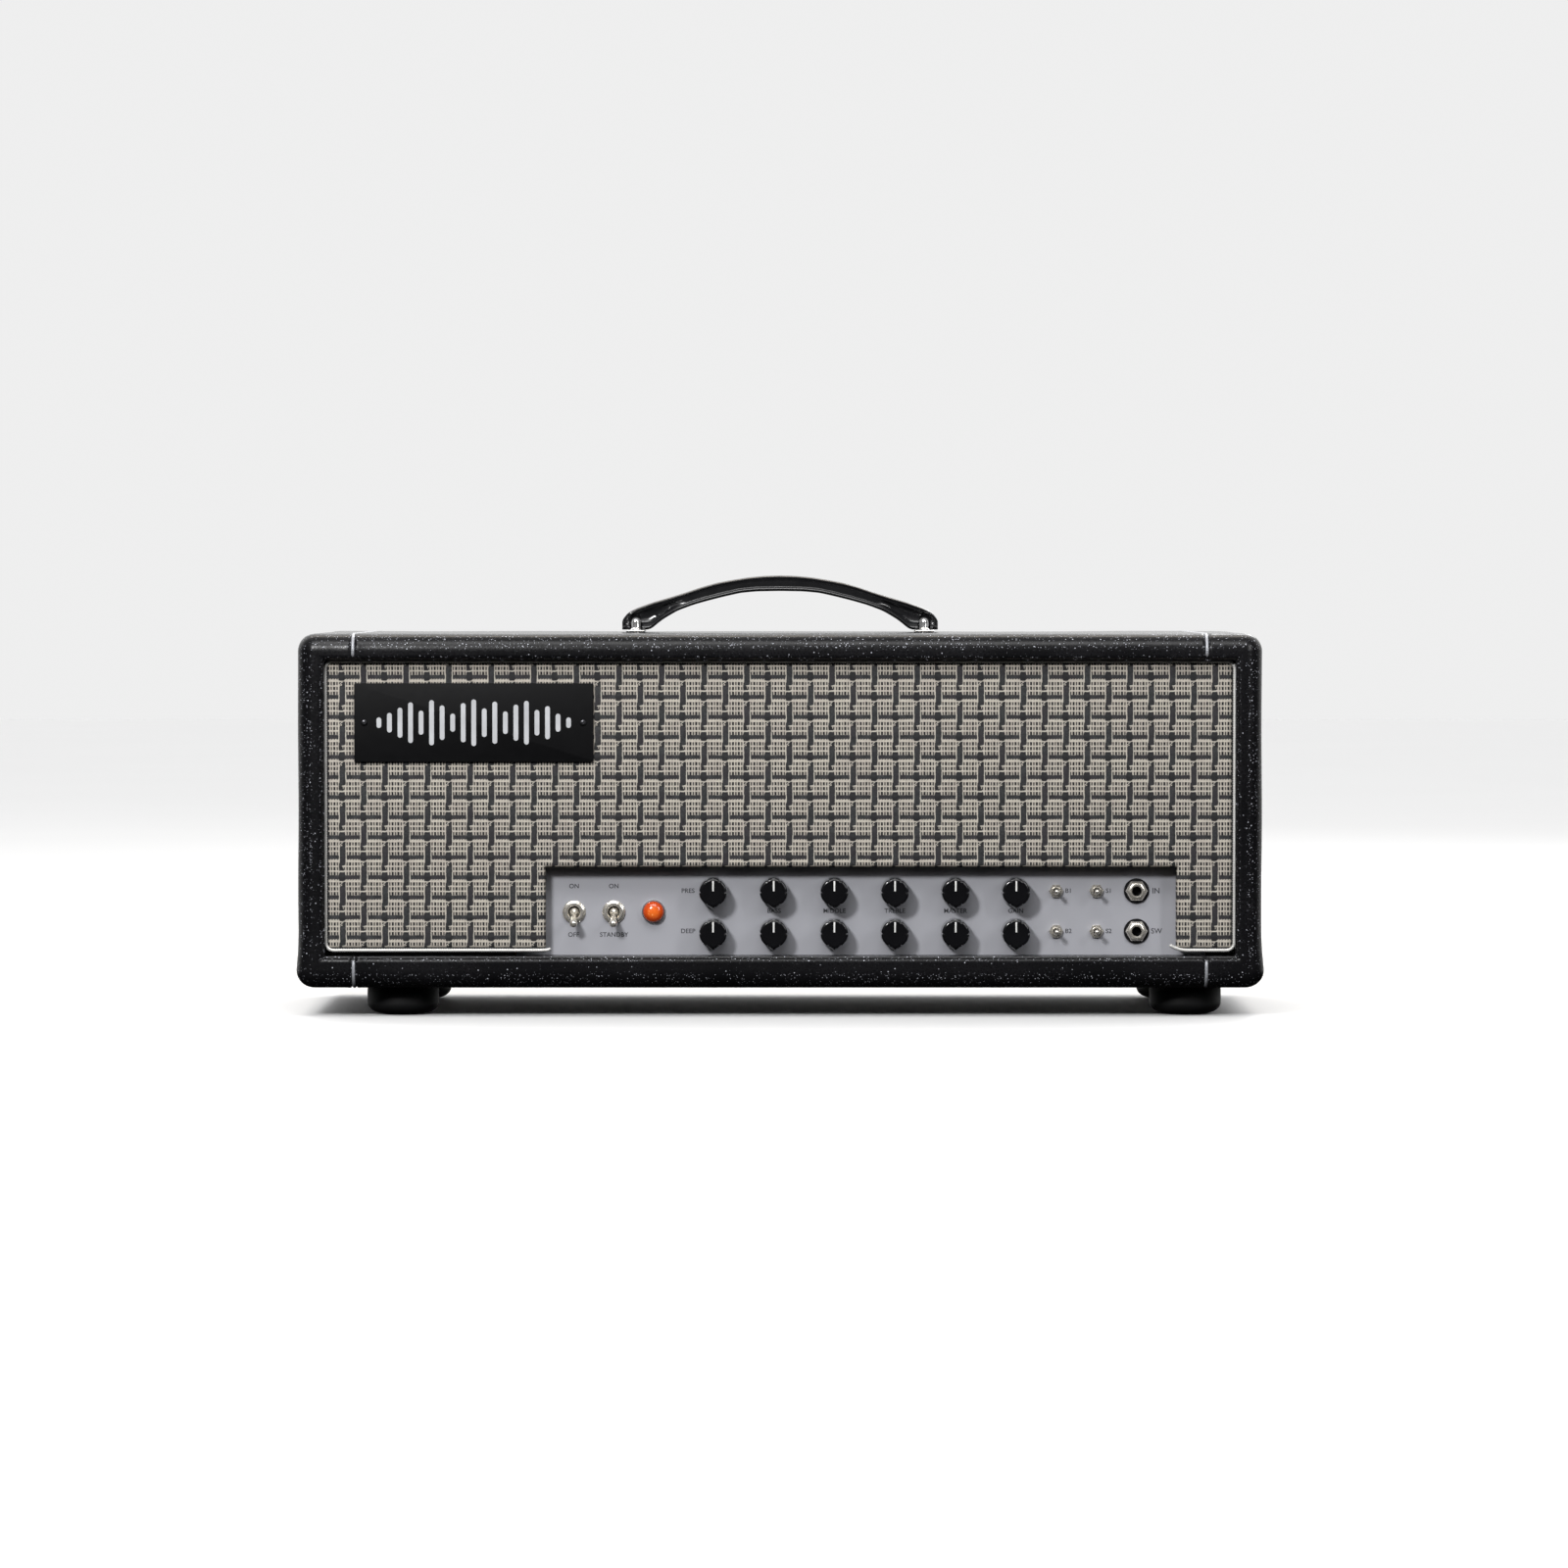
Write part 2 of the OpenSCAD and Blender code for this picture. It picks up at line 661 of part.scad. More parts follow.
// A bushing and body behind the panel, hollow for the lever's ball.
module lever_switch(p, w, h, depth, bush_r, hole_r, out) {
  difference() {
    union() {
      translate([p[0] - w / 2, inner_y, p[1] - h / 2]) cube([w, depth, h]);
      front(p, inner_y + 1) cylinder(r = bush_r, h = inner_y + 1 - panel_y + out);
    }
    front(p, inner_y + 6) cylinder(r = hole_r, h = 30);
  }
}

module switch_bodies() {
  color([0.5, 0.5, 0.52]) {
    for (p = [power_pos, standby_pos]) lever_switch(p, 20, 28, 22, 5.95, 4, 3);
    for (p = mini_places) lever_switch(p, 9, 12.5, 10, 3, 1.95, 3);
  }
}

module pilot_lamp_bezel() {
  color("Silver") difference() {
    union() {
      front(lamp_pos, panel_y) cylinder(r = 8, h = 1.4);
      front(lamp_pos, inner_y + 14) cylinder(r = 6.15, h = inner_y + 14.5 - panel_y);
      front(lamp_pos, inner_y + 3) cylinder(r = 8.5, h = 3);
    }
    front(lamp_pos, inner_y + 12) cylinder(r = 5, h = 40);
  }
}

module pilot_lamp_jewel() {
  color([0.85, 0.3, 0.1]) front(lamp_pos, panel_y - 1.4) intersection() {
    cylinder(r = 7.15, h = 6);
    translate([0, 0, -2.6]) sphere(r = 8.2);
  }
}

// A jack: body inside, threaded sleeve through the wall, open bore for a plug.
module jack(h_out) {
  difference() {
    union() {
      translate([-8, -8, -26]) cube([16, 16, 26]);
      translate([0, 0, -1]) cylinder(r = 4.75, h = 1 + h_out);
    }
    translate([0, 0, -24]) cylinder(r = 3.25, h = 60);
  }
}

module front_jacks() {
  for (p = jack_places) {
    color([0.13, 0.13, 0.14]) front(p, inner_y) jack(inner_y - panel_y + 4.2);
    color([0.1, 0.1, 0.1]) front(p, panel_y) tube(8.45, 4.8, 1);
  }
}

module rear_jacks() {
  color([0.13, 0.13, 0.14]) for (p = rear_jack_places)
    rear(p, rear_y - sheet_t) jack(sheet_t + 3.2);
}

module mains_inlet() {
  color([0.1, 0.1, 0.11]) {
    difference() {
      union() {
        plate(rounded(50, 26, 5), inlet_pos[0], inlet_pos[1], rear_y, 3);
        block(inlet_pos[0], rear_y - 10, inlet_pos[1] - 10, 28, 25, 20);
      }
      block(inlet_pos[0], rear_y - 3, inlet_pos[1] - 8.2, 24.6, 30, 16.4);
      for (x = [-20, 20]) rear([inlet_pos[0] + x, inlet_pos[1]], rear_y - 1) cylinder(r = 1.8, h = 6);
    }
  }
  color("Gold") for (x = [-7, 0, 7])
    block(inlet_pos[0] + x, rear_y - 9.5, inlet_pos[1] - 3 + (x == 0 ? 2 : -1), 2, 17, 4);
}

module fuse_holders() {
  color([0.08, 0.08, 0.08]) for (p = fuse_places) {
    rear(p, rear_y - 30) cylinder(r = 6.15, h = 33);
    rear(p, rear_y) cylinder(r = 8.5, h = 2);
    rear(p, rear_y + 2) cylinder(r = 7, h = 9);
  }
}

// A pointer knob with its shaft: round body, a beak that points down, six slots.
module knob(p) {
  r = knob_d / 2;
  color([0.05, 0.05, 0.05]) front(p, panel_y - 0.6) difference() {
    union() {
      cylinder(r1 = r, r2 = r - 0.6, h = knob_h);
      linear_extrude(knob_h - 3) polygon([[-5.5, -r + 2.3], [0, -r - 2.3], [5.5, -r + 2.3]]);
    }
    translate([0, 0, -1]) cylinder(r = 6.4, h = 4.2);
    translate([0, 0, 2]) cylinder(r = shaft_r + 0.01, h = knob_h - 4.5);
    for (a = [-152, -90, -28, 28, 90, 152])
      rotate(-a) translate([-0.55, r - 0.9, 1.5]) cube([1.1, 4, knob_h]);
  }
  color("Silver") front(p, inner_y + 7.5)
    cylinder(r = shaft_r, h = inner_y + 7.5 - (panel_y - knob_h + 2));
}

module presence_knob() {
  knob([knob_xs[0], row_hi]);
}

module depth_knob() {
  knob([knob_xs[0], row_lo]);
}

module upper_bass_knob() {
  knob([knob_xs[1], row_hi]);
}

module lower_bass_knob() {
  knob([knob_xs[1], row_lo]);
}

module upper_middle_knob() {
  knob([knob_xs[2], row_hi]);
}

module lower_middle_knob() {
  knob([knob_xs[2], row_lo]);
}

module upper_treble_knob() {
  knob([knob_xs[3], row_hi]);
}

module lower_treble_knob() {
  knob([knob_xs[3], row_lo]);
}

module upper_master_knob() {
  knob([knob_xs[4], row_hi]);
}

module lower_master_knob() {
  knob([knob_xs[4], row_lo]);
}

module upper_gain_knob() {
  knob([knob_xs[5], row_hi]);
}

module lower_gain_knob() {
  knob([knob_xs[5], row_lo]);
}

// A pivot ball with a flat on each side, and its cross pin along X.
module pivot_ball(r, flat, pin_r, pin_half) {
  intersection() {
    sphere(r = r);
    box([-flat, -r - 1, -r - 1], [flat, r + 1, r + 1]);
  }
  rotate([0, 90, 0]) cylinder(r = pin_r, h = 2 * pin_half, center = true);
}

// A bat lever on its pivot ball, tilted down at rest.
module bat_lever(p) {
  color("Silver") translate([p[0], pivot_y, p[1]]) rotate([90 + lever_tilt, 0, 0]) {
    pivot_ball(3.2, 2.4, 1, 3);
    cylinder(r1 = 1.5, r2 = 2.3, h = 15.5);
    translate([0, 0, 15.5]) sphere(r = 2.7);
  }
}

module power_switch_lever() {
  bat_lever(power_pos);
}

module standby_switch_lever() {
  bat_lever(standby_pos);
}

module mini_lever(p) {
  color("Silver") front(p, mini_pivot_y) {
    pivot_ball(1.6, 1.1, 0.6, 1.4);
    cylinder(r1 = 0.95, r2 = 1.5, h = 11);
    translate([0, 0, 11]) sphere(r = 1.75);
  }
}

module mini_lever_left_upper() {
  mini_lever(mini_places[0]);
}

module mini_lever_left_lower() {
  mini_lever(mini_places[1]);
}

module mini_lever_right_upper() {
  mini_lever(mini_places[2]);
}

module mini_lever_right_lower() {
  mini_lever(mini_places[3]);
}

// The output impedance selector on the back, with its shaft.
module impedance_selector_knob() {
  color([0.06, 0.06, 0.06]) rear(selector_pos, rear_y + 3.6) difference() {
    cylinder(r1 = 10, r2 = 9, h = 12);
    translate([0, 0, -1]) cylinder(r = shaft_r + 0.01, h = 11);
    for (s = [-1, 1]) translate([s * 7.5 - 2.5, -12, 4]) cube([5, 24, 10]);
  }
  color("Silver") rear(selector_pos, rear_y - 6) cylinder(r = shaft_r, h = 19.4);
}

cabinet_top_board();
cabinet_bottom_board();
cabinet_left_board();
cabinet_right_board();
vinyl_covering();
edge_piping();
panel_cleats();
grille_baffle();
grille_cloth();
grille_piping();
name_plate();
name_plate_screws();
rubber_feet();
cabinet_screws();
handle_grip();
handle_brackets();
handle_fasteners();
back_panel();
vent_grille();
chassis();
control_panel();
chassis_bolts();
circuit_board();
board_components();
board_standoffs();
power_transformer();
output_transformer();
filter_choke();
power_valves();
preamp_valves();
valve_sockets();
filter_capacitors();
potentiometer_bodies();
panel_nuts();
switch_bodies();
pilot_lamp_bezel();
pilot_lamp_jewel();
front_jacks();
rear_jacks();
mains_inlet();
fuse_holders();
presence_knob();
depth_knob();
upper_bass_knob();
lower_bass_knob();
upper_middle_knob();
lower_middle_knob();
upper_treble_knob();
lower_treble_knob();
upper_master_knob();
lower_master_knob();
upper_gain_knob();
lower_gain_knob();
power_switch_lever();
standby_switch_lever();
mini_lever_left_upper();
mini_lever_left_lower();
mini_lever_right_upper();
mini_lever_right_lower();
impedance_selector_knob();
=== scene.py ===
import math

import bmesh
import bpy
import numpy as np
from mathutils import Matrix, Vector


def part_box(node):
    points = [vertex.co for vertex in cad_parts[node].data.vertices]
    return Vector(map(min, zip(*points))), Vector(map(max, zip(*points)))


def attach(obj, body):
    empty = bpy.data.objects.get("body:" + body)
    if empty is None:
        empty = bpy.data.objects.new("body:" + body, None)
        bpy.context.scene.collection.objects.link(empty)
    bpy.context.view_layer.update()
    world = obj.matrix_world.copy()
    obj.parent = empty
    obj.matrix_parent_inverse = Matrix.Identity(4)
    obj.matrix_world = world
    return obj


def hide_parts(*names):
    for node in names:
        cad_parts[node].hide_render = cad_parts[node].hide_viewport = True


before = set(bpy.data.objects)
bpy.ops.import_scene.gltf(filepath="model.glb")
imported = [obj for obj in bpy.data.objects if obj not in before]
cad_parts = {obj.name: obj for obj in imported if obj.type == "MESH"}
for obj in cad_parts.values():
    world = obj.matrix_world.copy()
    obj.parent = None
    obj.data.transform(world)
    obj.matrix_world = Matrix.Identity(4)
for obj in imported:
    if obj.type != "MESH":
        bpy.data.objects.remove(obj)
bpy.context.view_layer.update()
BODY = "amp_body"
MM = 0.001


def box_mm(node):
    """A CAD node's lowest and highest corners, in millimetres."""
    return [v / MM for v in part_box(node)]


# Main planes of the head, in millimetres, from the CAD nodes.
lo, hi = box_mm("vinyl_covering")
HW, HD, Z0, Z1 = hi.x, hi.y, lo.z, hi.z
lo, hi = box_mm("grille_cloth")
GX, CLOTH_Y, GZ0, GZ1 = hi.x, lo.y, lo.z, hi.z
PANEL_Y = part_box("control_panel")[0].y / MM
lo, hi = box_mm("grille_piping")
CORD_X, CORD_Z0, CORD_Z1 = hi.x, lo.z, hi.z
CUT_X0, CUT_X1, CUT_Z = -156.2, 264.1, 99.5  # the cut-out of the grille, over the control panel
SIDE_T, TOP_T, BOTTOM_T = 17.1, 17.3, 20.5  # walls of the box with their covering
EDGE_R = 12.0  # radius of the box's outer edges
PIPE_X = 283.3  # the grooves with the edge cords
# Weave of the grille: one crossing of an upright strip, and the two pitches.
STRIP_X, STRIP_Z, PITCH_X, PITCH_Z = 91.35, 199.4, 14.15, 13.33
PLATE_SCREW_X = (-276.1, -130.7)
# Places on the control panel.
LAMP = (-84.4, 69.1)
KNOB_X = [-44.5 + 40.35 * i for i in range(6)]
ROWS = (82.6, 55.2)
TOGGLES = ((-137.4, 68.9), (-110.9, 68.9))
MINIS = [(x, z) for x in (184.3, 211.2) for z in (ROWS[0] + 0.3, ROWS[1] + 0.8)]
JACKS = [(238.0, ROWS[0] + 0.3), (238.0, ROWS[1] + 0.8)]
# Places on the rear face of the chassis.
REAR_Y, REAR_Z = 100.0, 70.0
REAR_JACK_X = (-150, -122, -80, -52)
SELECTOR_X, DIAL_R = -12, 15.5  # the impedance selector, and the ring of figures round it
FOOT_X, FOOT_Y = (-253, 272), 75


# ---- materials


class Sock:
    """A node socket that arithmetic joins with Math nodes."""

    def __init__(self, tree, socket):
        self.t, self.s = tree, socket

    def op(self, kind, *args):
        n = self.t.nodes.new("ShaderNodeMath")
        n.operation = kind
        for i, a in enumerate((self,) + args):
            if isinstance(a, Sock):
                self.t.links.new(a.s, n.inputs[i])
            else:
                n.inputs[i].default_value = a
        return Sock(self.t, n.outputs[0])

    def flip(self):
        return (self * -1.0) + 1.0

    def step(self, a, b):
        """0 at a, 1 at b, smooth between."""
        n = self.t.nodes.new("ShaderNodeMapRange")
        n.interpolation_type = "SMOOTHSTEP"
        self.t.links.new(self.s, n.inputs[0])
        n.inputs[1].default_value, n.inputs[2].default_value = a, b
        return Sock(self.t, n.outputs[0])


def math_method(kind):
    return lambda self, *others: self.op(kind, *others)


for method, kind in (("__add__", "ADD"), ("__sub__", "SUBTRACT"), ("__mul__", "MULTIPLY"),
                     ("__truediv__", "DIVIDE"), ("floor", "FLOOR"), ("frac", "FRACT"), ("cos", "COSINE"),
                     ("abs", "ABSOLUTE"), ("least", "MINIMUM"), ("most", "MAXIMUM")):
    setattr(Sock, method, math_method(kind))


class Mat:
    """A Principled material with small helpers for procedural detail. Lengths are in metres."""

    def __init__(self, name, color, rough=0.5, metal=0.0, **sockets):
        self.m = bpy.data.materials.new(name)
        self.m.use_nodes = True
        self.t = self.m.node_tree
        self.p = self.t.nodes["Principled BSDF"]
        self.color = tuple(color) + (1.0,)
        self.p.inputs["Base Color"].default_value = self.color
        self.p.inputs["Roughness"].default_value = rough
        self.p.inputs["Metallic"].default_value = metal
        for k, v in sockets.items():
            self.p.inputs[k.replace("_", " ")].default_value = v
        self.m.diffuse_color = self.color

    def node(self, kind, vector=None, **values):
        """A node on the object's coordinates, or on another vector, with its inputs set."""
        n = self.t.nodes.new("ShaderNode" + kind)
        for k, v in values.items():
            n.inputs[k].default_value = v
        vector = vector or self.t.nodes.new("ShaderNodeTexCoord").outputs["Object"]
        self.t.links.new(vector, n.inputs["Vector"])
        return n

    def xyz(self):
        return [Sock(self.t, o) for o in self.node("SeparateXYZ").outputs]

    def stretched(self, scale):
        return self.node("Mapping", Scale=scale).outputs[0]

    def noise(self, scale, detail, vector=None, distortion=0.0):
        n = self.node("TexNoise", vector, Scale=scale, Detail=detail, Distortion=distortion)
        return Sock(self.t, n.outputs[0])

    def voronoi(self, scale, feature="F1", out="Distance"):
        n = self.node("TexVoronoi", Scale=scale)
        n.feature = feature
        return Sock(self.t, n.outputs[out])

    def mix(self, fac, a, b):
        """A colour between a and b; each is a colour or a socket."""
        n = self.t.nodes.new("ShaderNodeMix")
        n.data_type = "RGBA"
        self.t.links.new(fac.s, n.inputs[0])
        for socket, v in ((n.inputs[6], a), (n.inputs[7], b)):
            if isinstance(v, Sock):
                self.t.links.new(v.s, socket)
            else:
                socket.default_value = tuple(v) + (1.0,)
        return Sock(self.t, n.outputs[2])

    def set(self, name, sock):
        self.t.links.new(sock.s, self.p.inputs[name])

    def vary(self, fac, spread):
        """Lets the base colour drift a little either way."""
        c = self.color[:3]
        low, high = [v * (1 - spread) for v in c], [min(1.0, v * (1 + spread)) for v in c]
        self.set("Base Color", self.mix(fac, low, high))

    def rough(self, fac, a, b):
        self.set("Roughness", fac * (b - a) + a)

    def bump(self, height, strength, distance):
        n = self.t.nodes.new("ShaderNodeBump")
        n.inputs["Strength"].default_value = strength
        n.inputs["Distance"].default_value = distance
        self.t.links.new(height.s, n.inputs["Height"])
        self.t.links.new(n.outputs[0], self.p.inputs["Normal"])


def vinyl_material(name, fleck=1.0):
    """Near-black pebbled vinyl, with silver flecks of several sizes in it."""
    m = Mat(name, (0.006, 0.006, 0.0065), 0.30, Specular_IOR_Level=0.23)
    grain = m.voronoi(560, "SMOOTH_F1") * 0.6 + m.noise(1400, 2.0) * 0.4
    wide = m.noise(18, 3.0)
    base = m.mix(wide.step(0.3, 0.7), (0.0045, 0.0045, 0.0052), (0.0085, 0.0083, 0.0095))
    all_flecks = None
    for scale, size, keep in ((520.0, 0.21, 0.58), (1050.0, 0.28, 0.62), (260.0, 0.115, 0.52)):
        chosen = m.voronoi(scale, out="Color").step(keep, keep + 0.2)
        dot = m.voronoi(scale).step(size, size * 0.5) * chosen * fleck
        all_flecks = dot if all_flecks is None else all_flecks.most(dot)
    m.set("Base Color", m.mix(all_flecks, base, (0.70, 0.72, 0.80)))
    m.rough(grain, 0.20, 0.38)
    m.bump(grain, 0.34, 0.0002)
    return m.m


def cloth_material():
    """Cream open weave crossed by charcoal strips that pass over and under each other."""
    m = Mat("basketweave_cloth", (0.46, 0.42, 0.35), 0.9, Specular_IOR_Level=0.2)
    x, _, z = m.xyz()
    wob, wob2, wide = m.noise(190, 2.0), m.noise(900, 2.0), m.noise(45, 2.0)
    jig, jig2 = (wob - 0.5) * 2.0, (wob2 - 0.5) * 2.0
    X = (x - STRIP_X * MM) / (PITCH_X * MM) + 0.5
    Z = (z - STRIP_Z * MM) / (PITCH_Z * MM) + 0.5
    col, row = X.floor(), Z.floor()
    u, v = X.frac() - 0.5, Z.frac() - 0.5  # from the middle of each crossing, v upwards
    under = ((col + row) * 0.5).frac().step(0.1, 0.4)  # 1 where the flat strip is on top
    over = under.flip()
    ju, jv = u + jig * 0.022 + jig2 * 0.016, v + (m.noise(260, 1.0) - 0.5) * 0.05 + jig2 * 0.014

    def patch(u0, u1, v0, v1, soft=0.014):
        side = (ju - u0).step(-soft, soft) * (ju - u1).step(soft, -soft)
        return side * (jv - v0).step(-soft, soft) * (jv - v1).step(soft, -soft)

    def spot(cu, cv, ru, rv):
        a, b = (ju - cu) / ru, (jv - cv) / rv
        a, b = a * a, b * b
        return (a * a + b * b).step(1.3, 0.7)

    # The upright strip where it is on top: its body, and its lower end that draws to the left.
    body = patch(-0.145, 0.132, -0.385, 0.6).most(patch(-0.178, 0.115, -0.43, -0.29))
    body = body.most(patch(-0.182, -0.015, -0.6, -0.42)) * over
    # Where it dives: the end of the stretch above, the hump behind the flat strip, and the next start.
    dive = patch(-0.182, -0.005, 0.325, 0.6).most(patch(-0.175, 0.04, 0.315, 0.41))
    dive = dive.most(spot(-0.04, 0.02, 0.155, 0.225))
    start = patch(-0.030, 0.128, -0.6, -0.235).most(patch(-0.130, 0.0, -0.6, -0.435))
    dive = dive.most(start).most(spot(-0.085, -0.325, 0.075, 0.050)) * under
    # The flat strip, with a toothed lower side, hidden only where the upright one crosses on top.
    teeth = (X * (math.pi * 2 * 8.0)).cos()
    flat = (v + jig2 * 0.016 - 0.098).step(0.013, -0.013)
    flat = flat * (v + jig2 * 0.014 + 0.112 + teeth * 0.018).step(-0.013, 0.013)
    hidden = (ju + 0.186).step(-0.010, 0.010) * (ju - 0.172).step(0.010, -0.010) * over
    flat = flat * hidden.flip()
    dark = body.most(dive).most(flat)
    # Bright threads: one down each side of the upright strip, and two that cross over its ends.
    sides = (ju + 0.157).abs().step(0.014, 0.006).most((ju - 0.150).abs().step(0.022, 0.010))
    sides = sides * over * jv.abs().step(0.30, 0.18)
    slant = jv - ju * 0.16 - ju * ju * 0.8
    short = (ju - 0.10).step(0.04, -0.02)
    wraps = (slant + 0.452).abs().step(0.026, 0.008) * (ju - 0.0).step(-0.06, -0.02) * over
    second = (slant - 0.282).abs().step(0.028, 0.009) * (ju + 0.15).step(-0.02, 0.03) * under
    wraps = wraps.most(second) * short
    curl = (jv - ju * 0.9 + 0.262).abs().step(0.026, 0.010) * patch(-0.14, 0.02, -0.42, -0.22) * under
    bright = sides.most(wraps).most(curl)
    dark = dark * wraps.most(curl).flip()
    # Fine open weave of the cream ground: three rows of holes, strong and weak ones by turns.
    across = (X + 0.5).frac() - 0.475  # from the middle of a pad
    hx = (across / 0.1365 + 0.5 + jig * 0.10).frac() - 0.5
    strong = across.abs().step(0.055, 0.075) * across.abs().step(0.215, 0.195)
    down = (Z * -1.0 + 0.5).frac()  # from one flat strip down to the next
    hz = ((down - 0.340) / 0.2415 + 0.5).frac() - 0.5
    size = strong * 0.11 + 0.235 + jig2 * 0.09
    hole = (size - hx.abs()).step(-0.07, 0.07) * (hz.abs() + jig2 * 0.10).step(0.42, 0.28)
    hole = hole * down.step(0.19, 0.23) * (strong * 0.20 + 0.82 + jig * 0.15).least(1.0)
    cord_x = (hx * (math.pi * 2.0)).cos() * -0.5 + 0.5
    cord_z = (hz * (math.pi * 2.0)).cos() * -0.5 + 0.5
    twist = ((X * 40.0 + Z * 26.0) * (math.pi * 2.0)).cos() * 0.5 + 0.5
    # painted shade: the cream darkens towards each hole, between the threads, with twist and random tone on
    # top
    hole_shade_and_tone = cord_x.most(cord_z) * 0.55 + twist * 0.15 + wob2 * 0.35
    cream = m.mix(hole_shade_and_tone.step(0.15, 0.95), (0.205, 0.190, 0.166), (0.575, 0.532, 0.462))
    cream = m.mix(wide.step(0.35, 0.65) * 0.35, cream, (0.42, 0.368, 0.335))
    cream = m.mix(hole, cream, (0.026, 0.025, 0.027))
    fibre = (u * (math.pi * 2 * 38) * over + Z * (math.pi * 2 * 30) * under).cos() * 0.22
    tone = fibre + wob2 * 0.5 + wob * 0.35
    char = m.mix(tone.step(0.15, 0.9), (0.013, 0.0135, 0.015), (0.075, 0.077, 0.080))
    char = m.mix(m.noise(75, 1.0).step(0.42, 0.62) * 0.5, char, (0.034, 0.029, 0.034))
    # painted shade: the upright strip is darker where it dives under the flat strip
    char = m.mix(dive * 0.65, char, (0.012, 0.012, 0.013))
    out = m.mix(dark, cream, char)
    m.set("Base Color", m.mix(bright, out, (0.58, 0.55, 0.485)))
    relief = (hole.flip() * 0.5 + hole_shade_and_tone * 0.4) * dark.flip() + dark * (tone * 0.3 + 0.35) + bright * 0.2
    m.bump(relief, 0.75, 0.0005)
    m.set("Roughness", dark * -0.38 + 0.92)
    return m.m


def cord_material(name, color, rough):
    m = Mat(name, color, rough, 0.25)
    m.vary(m.noise(2400, 2.0), 0.4)
    m.rough(m.noise(900, 2.0), rough - 0.1, rough + 0.12)
    m.bump(m.noise(3800, 2.0), 0.4, 0.00012)
    return m.m


def metal_material(name, color, rough, spread=0.1, scale=160.0, stretch=None, metal=1.0):
    m = Mat(name, color, rough, metal)
    vec = m.stretched(stretch) if stretch else None
    n = m.noise(scale, 4.0, vec)
    m.rough(n, max(0.03, rough - spread), rough + spread)
    m.vary(m.noise(scale * 0.4, 3.0), 0.08)
    m.bump(m.noise(scale * 3, 2.0, vec), 0.08, 0.00005)
    return m.m


def plastic_material(name, color, rough, grain=900.0, strength=0.12, spread=0.08, sockets=()):
    m = Mat(name, color, rough, 0.0, **dict(sockets))
    m.vary(m.noise(grain * 0.05, 3.0), 0.22)
    m.rough(m.noise(grain * 0.1, 4.0), max(0.03, rough - spread), rough + spread)
    m.bump(m.noise(grain, 3.0), strength, 0.00012)
    return m.m


def wood_material(name, a, b, rough=0.6):
    m = Mat(name, a, rough)
    grain = m.noise(60, 6.0, m.stretched((0.12, 1.0, 1.0)), 1.6)
    ply = (m.noise(8, 2.0) + m.noise(240, 2.0) * 0.2).frac()
    m.set("Base Color", m.mix(grain.step(0.3, 0.7) * 0.8 + ply * 0.2, a, b))
    m.rough(grain, rough - 0.12, rough + 0.15)
    m.bump(grain, 0.25, 0.0003)
    return m.m


def panel_material():
    m = Mat("panel_grey", (0.365, 0.368, 0.40), 0.42)
    m.vary(m.noise(30, 4.0) * 0.6 + m.noise(2500, 2.0) * 0.4, 0.07)
    m.rough(m.noise(140, 4.0), 0.34, 0.52)
    m.bump(m.noise(2600, 2.0), 0.12, 0.00008)
    return m.m


def jewel_material():
    """Deep orange moulded glass with small facets; painted glints round its middle, painted light in the
    middle and painted shade at the rim.
    """
    m = Mat("lamp_jewel", (0.55, 0.05, 0.006), 0.14, Coat_Weight=0.35, Coat_Roughness=0.04)
    x, _, z = m.xyz()
    r2 = (x - LAMP[0] * MM) * (x - LAMP[0] * MM) + (z - LAMP[1] * MM) * (z - LAMP[1] * MM)
    core, rim = r2.step(0.000026, 0.000001), r2.step(0.000036, 0.000050)
    swirl = m.noise(420, 3.0)
    # painted glints: small pale spots round the middle of the dome, which also glow a little
    painted_glint = m.voronoi(520).step(0.34, 0.10) * core
    # painted light: the colour is lighter in the middle of the dome (core), and darker round its edge as
    # painted shade (rim)
    glow = m.mix(core * 0.6 + swirl * 0.25, (0.56, 0.050, 0.006), (0.92, 0.19, 0.025))
    glow = m.mix(rim * 0.7, glow, (0.24, 0.016, 0.003))
    m.set("Base Color", m.mix(painted_glint * 0.8, glow, (1.0, 0.48, 0.16)))
    m.p.inputs["Emission Color"].default_value = (1.0, 0.18, 0.03, 1.0)
    m.set("Emission Strength", core * 0.06 + painted_glint * 0.10)
    m.rough(swirl, 0.10, 0.24)
    m.bump(m.voronoi(520), 0.25, 0.0002)
    return m.m


def glass_material():
    m = Mat("valve_glass", (0.86, 0.88, 0.86), 0.05, IOR=1.45, Transmission_Weight=0.0, Alpha=0.28)
    m.rough(m.noise(60, 3.0), 0.03, 0.12)
    m.vary(m.noise(25, 2.0), 0.1)
    return m.m


CLEAR = {"Coat_Weight": 0.6, "Coat_Roughness": 0.05}
WAXED = {"Coat_Weight": 0.35, "Coat_Roughness": 0.12}
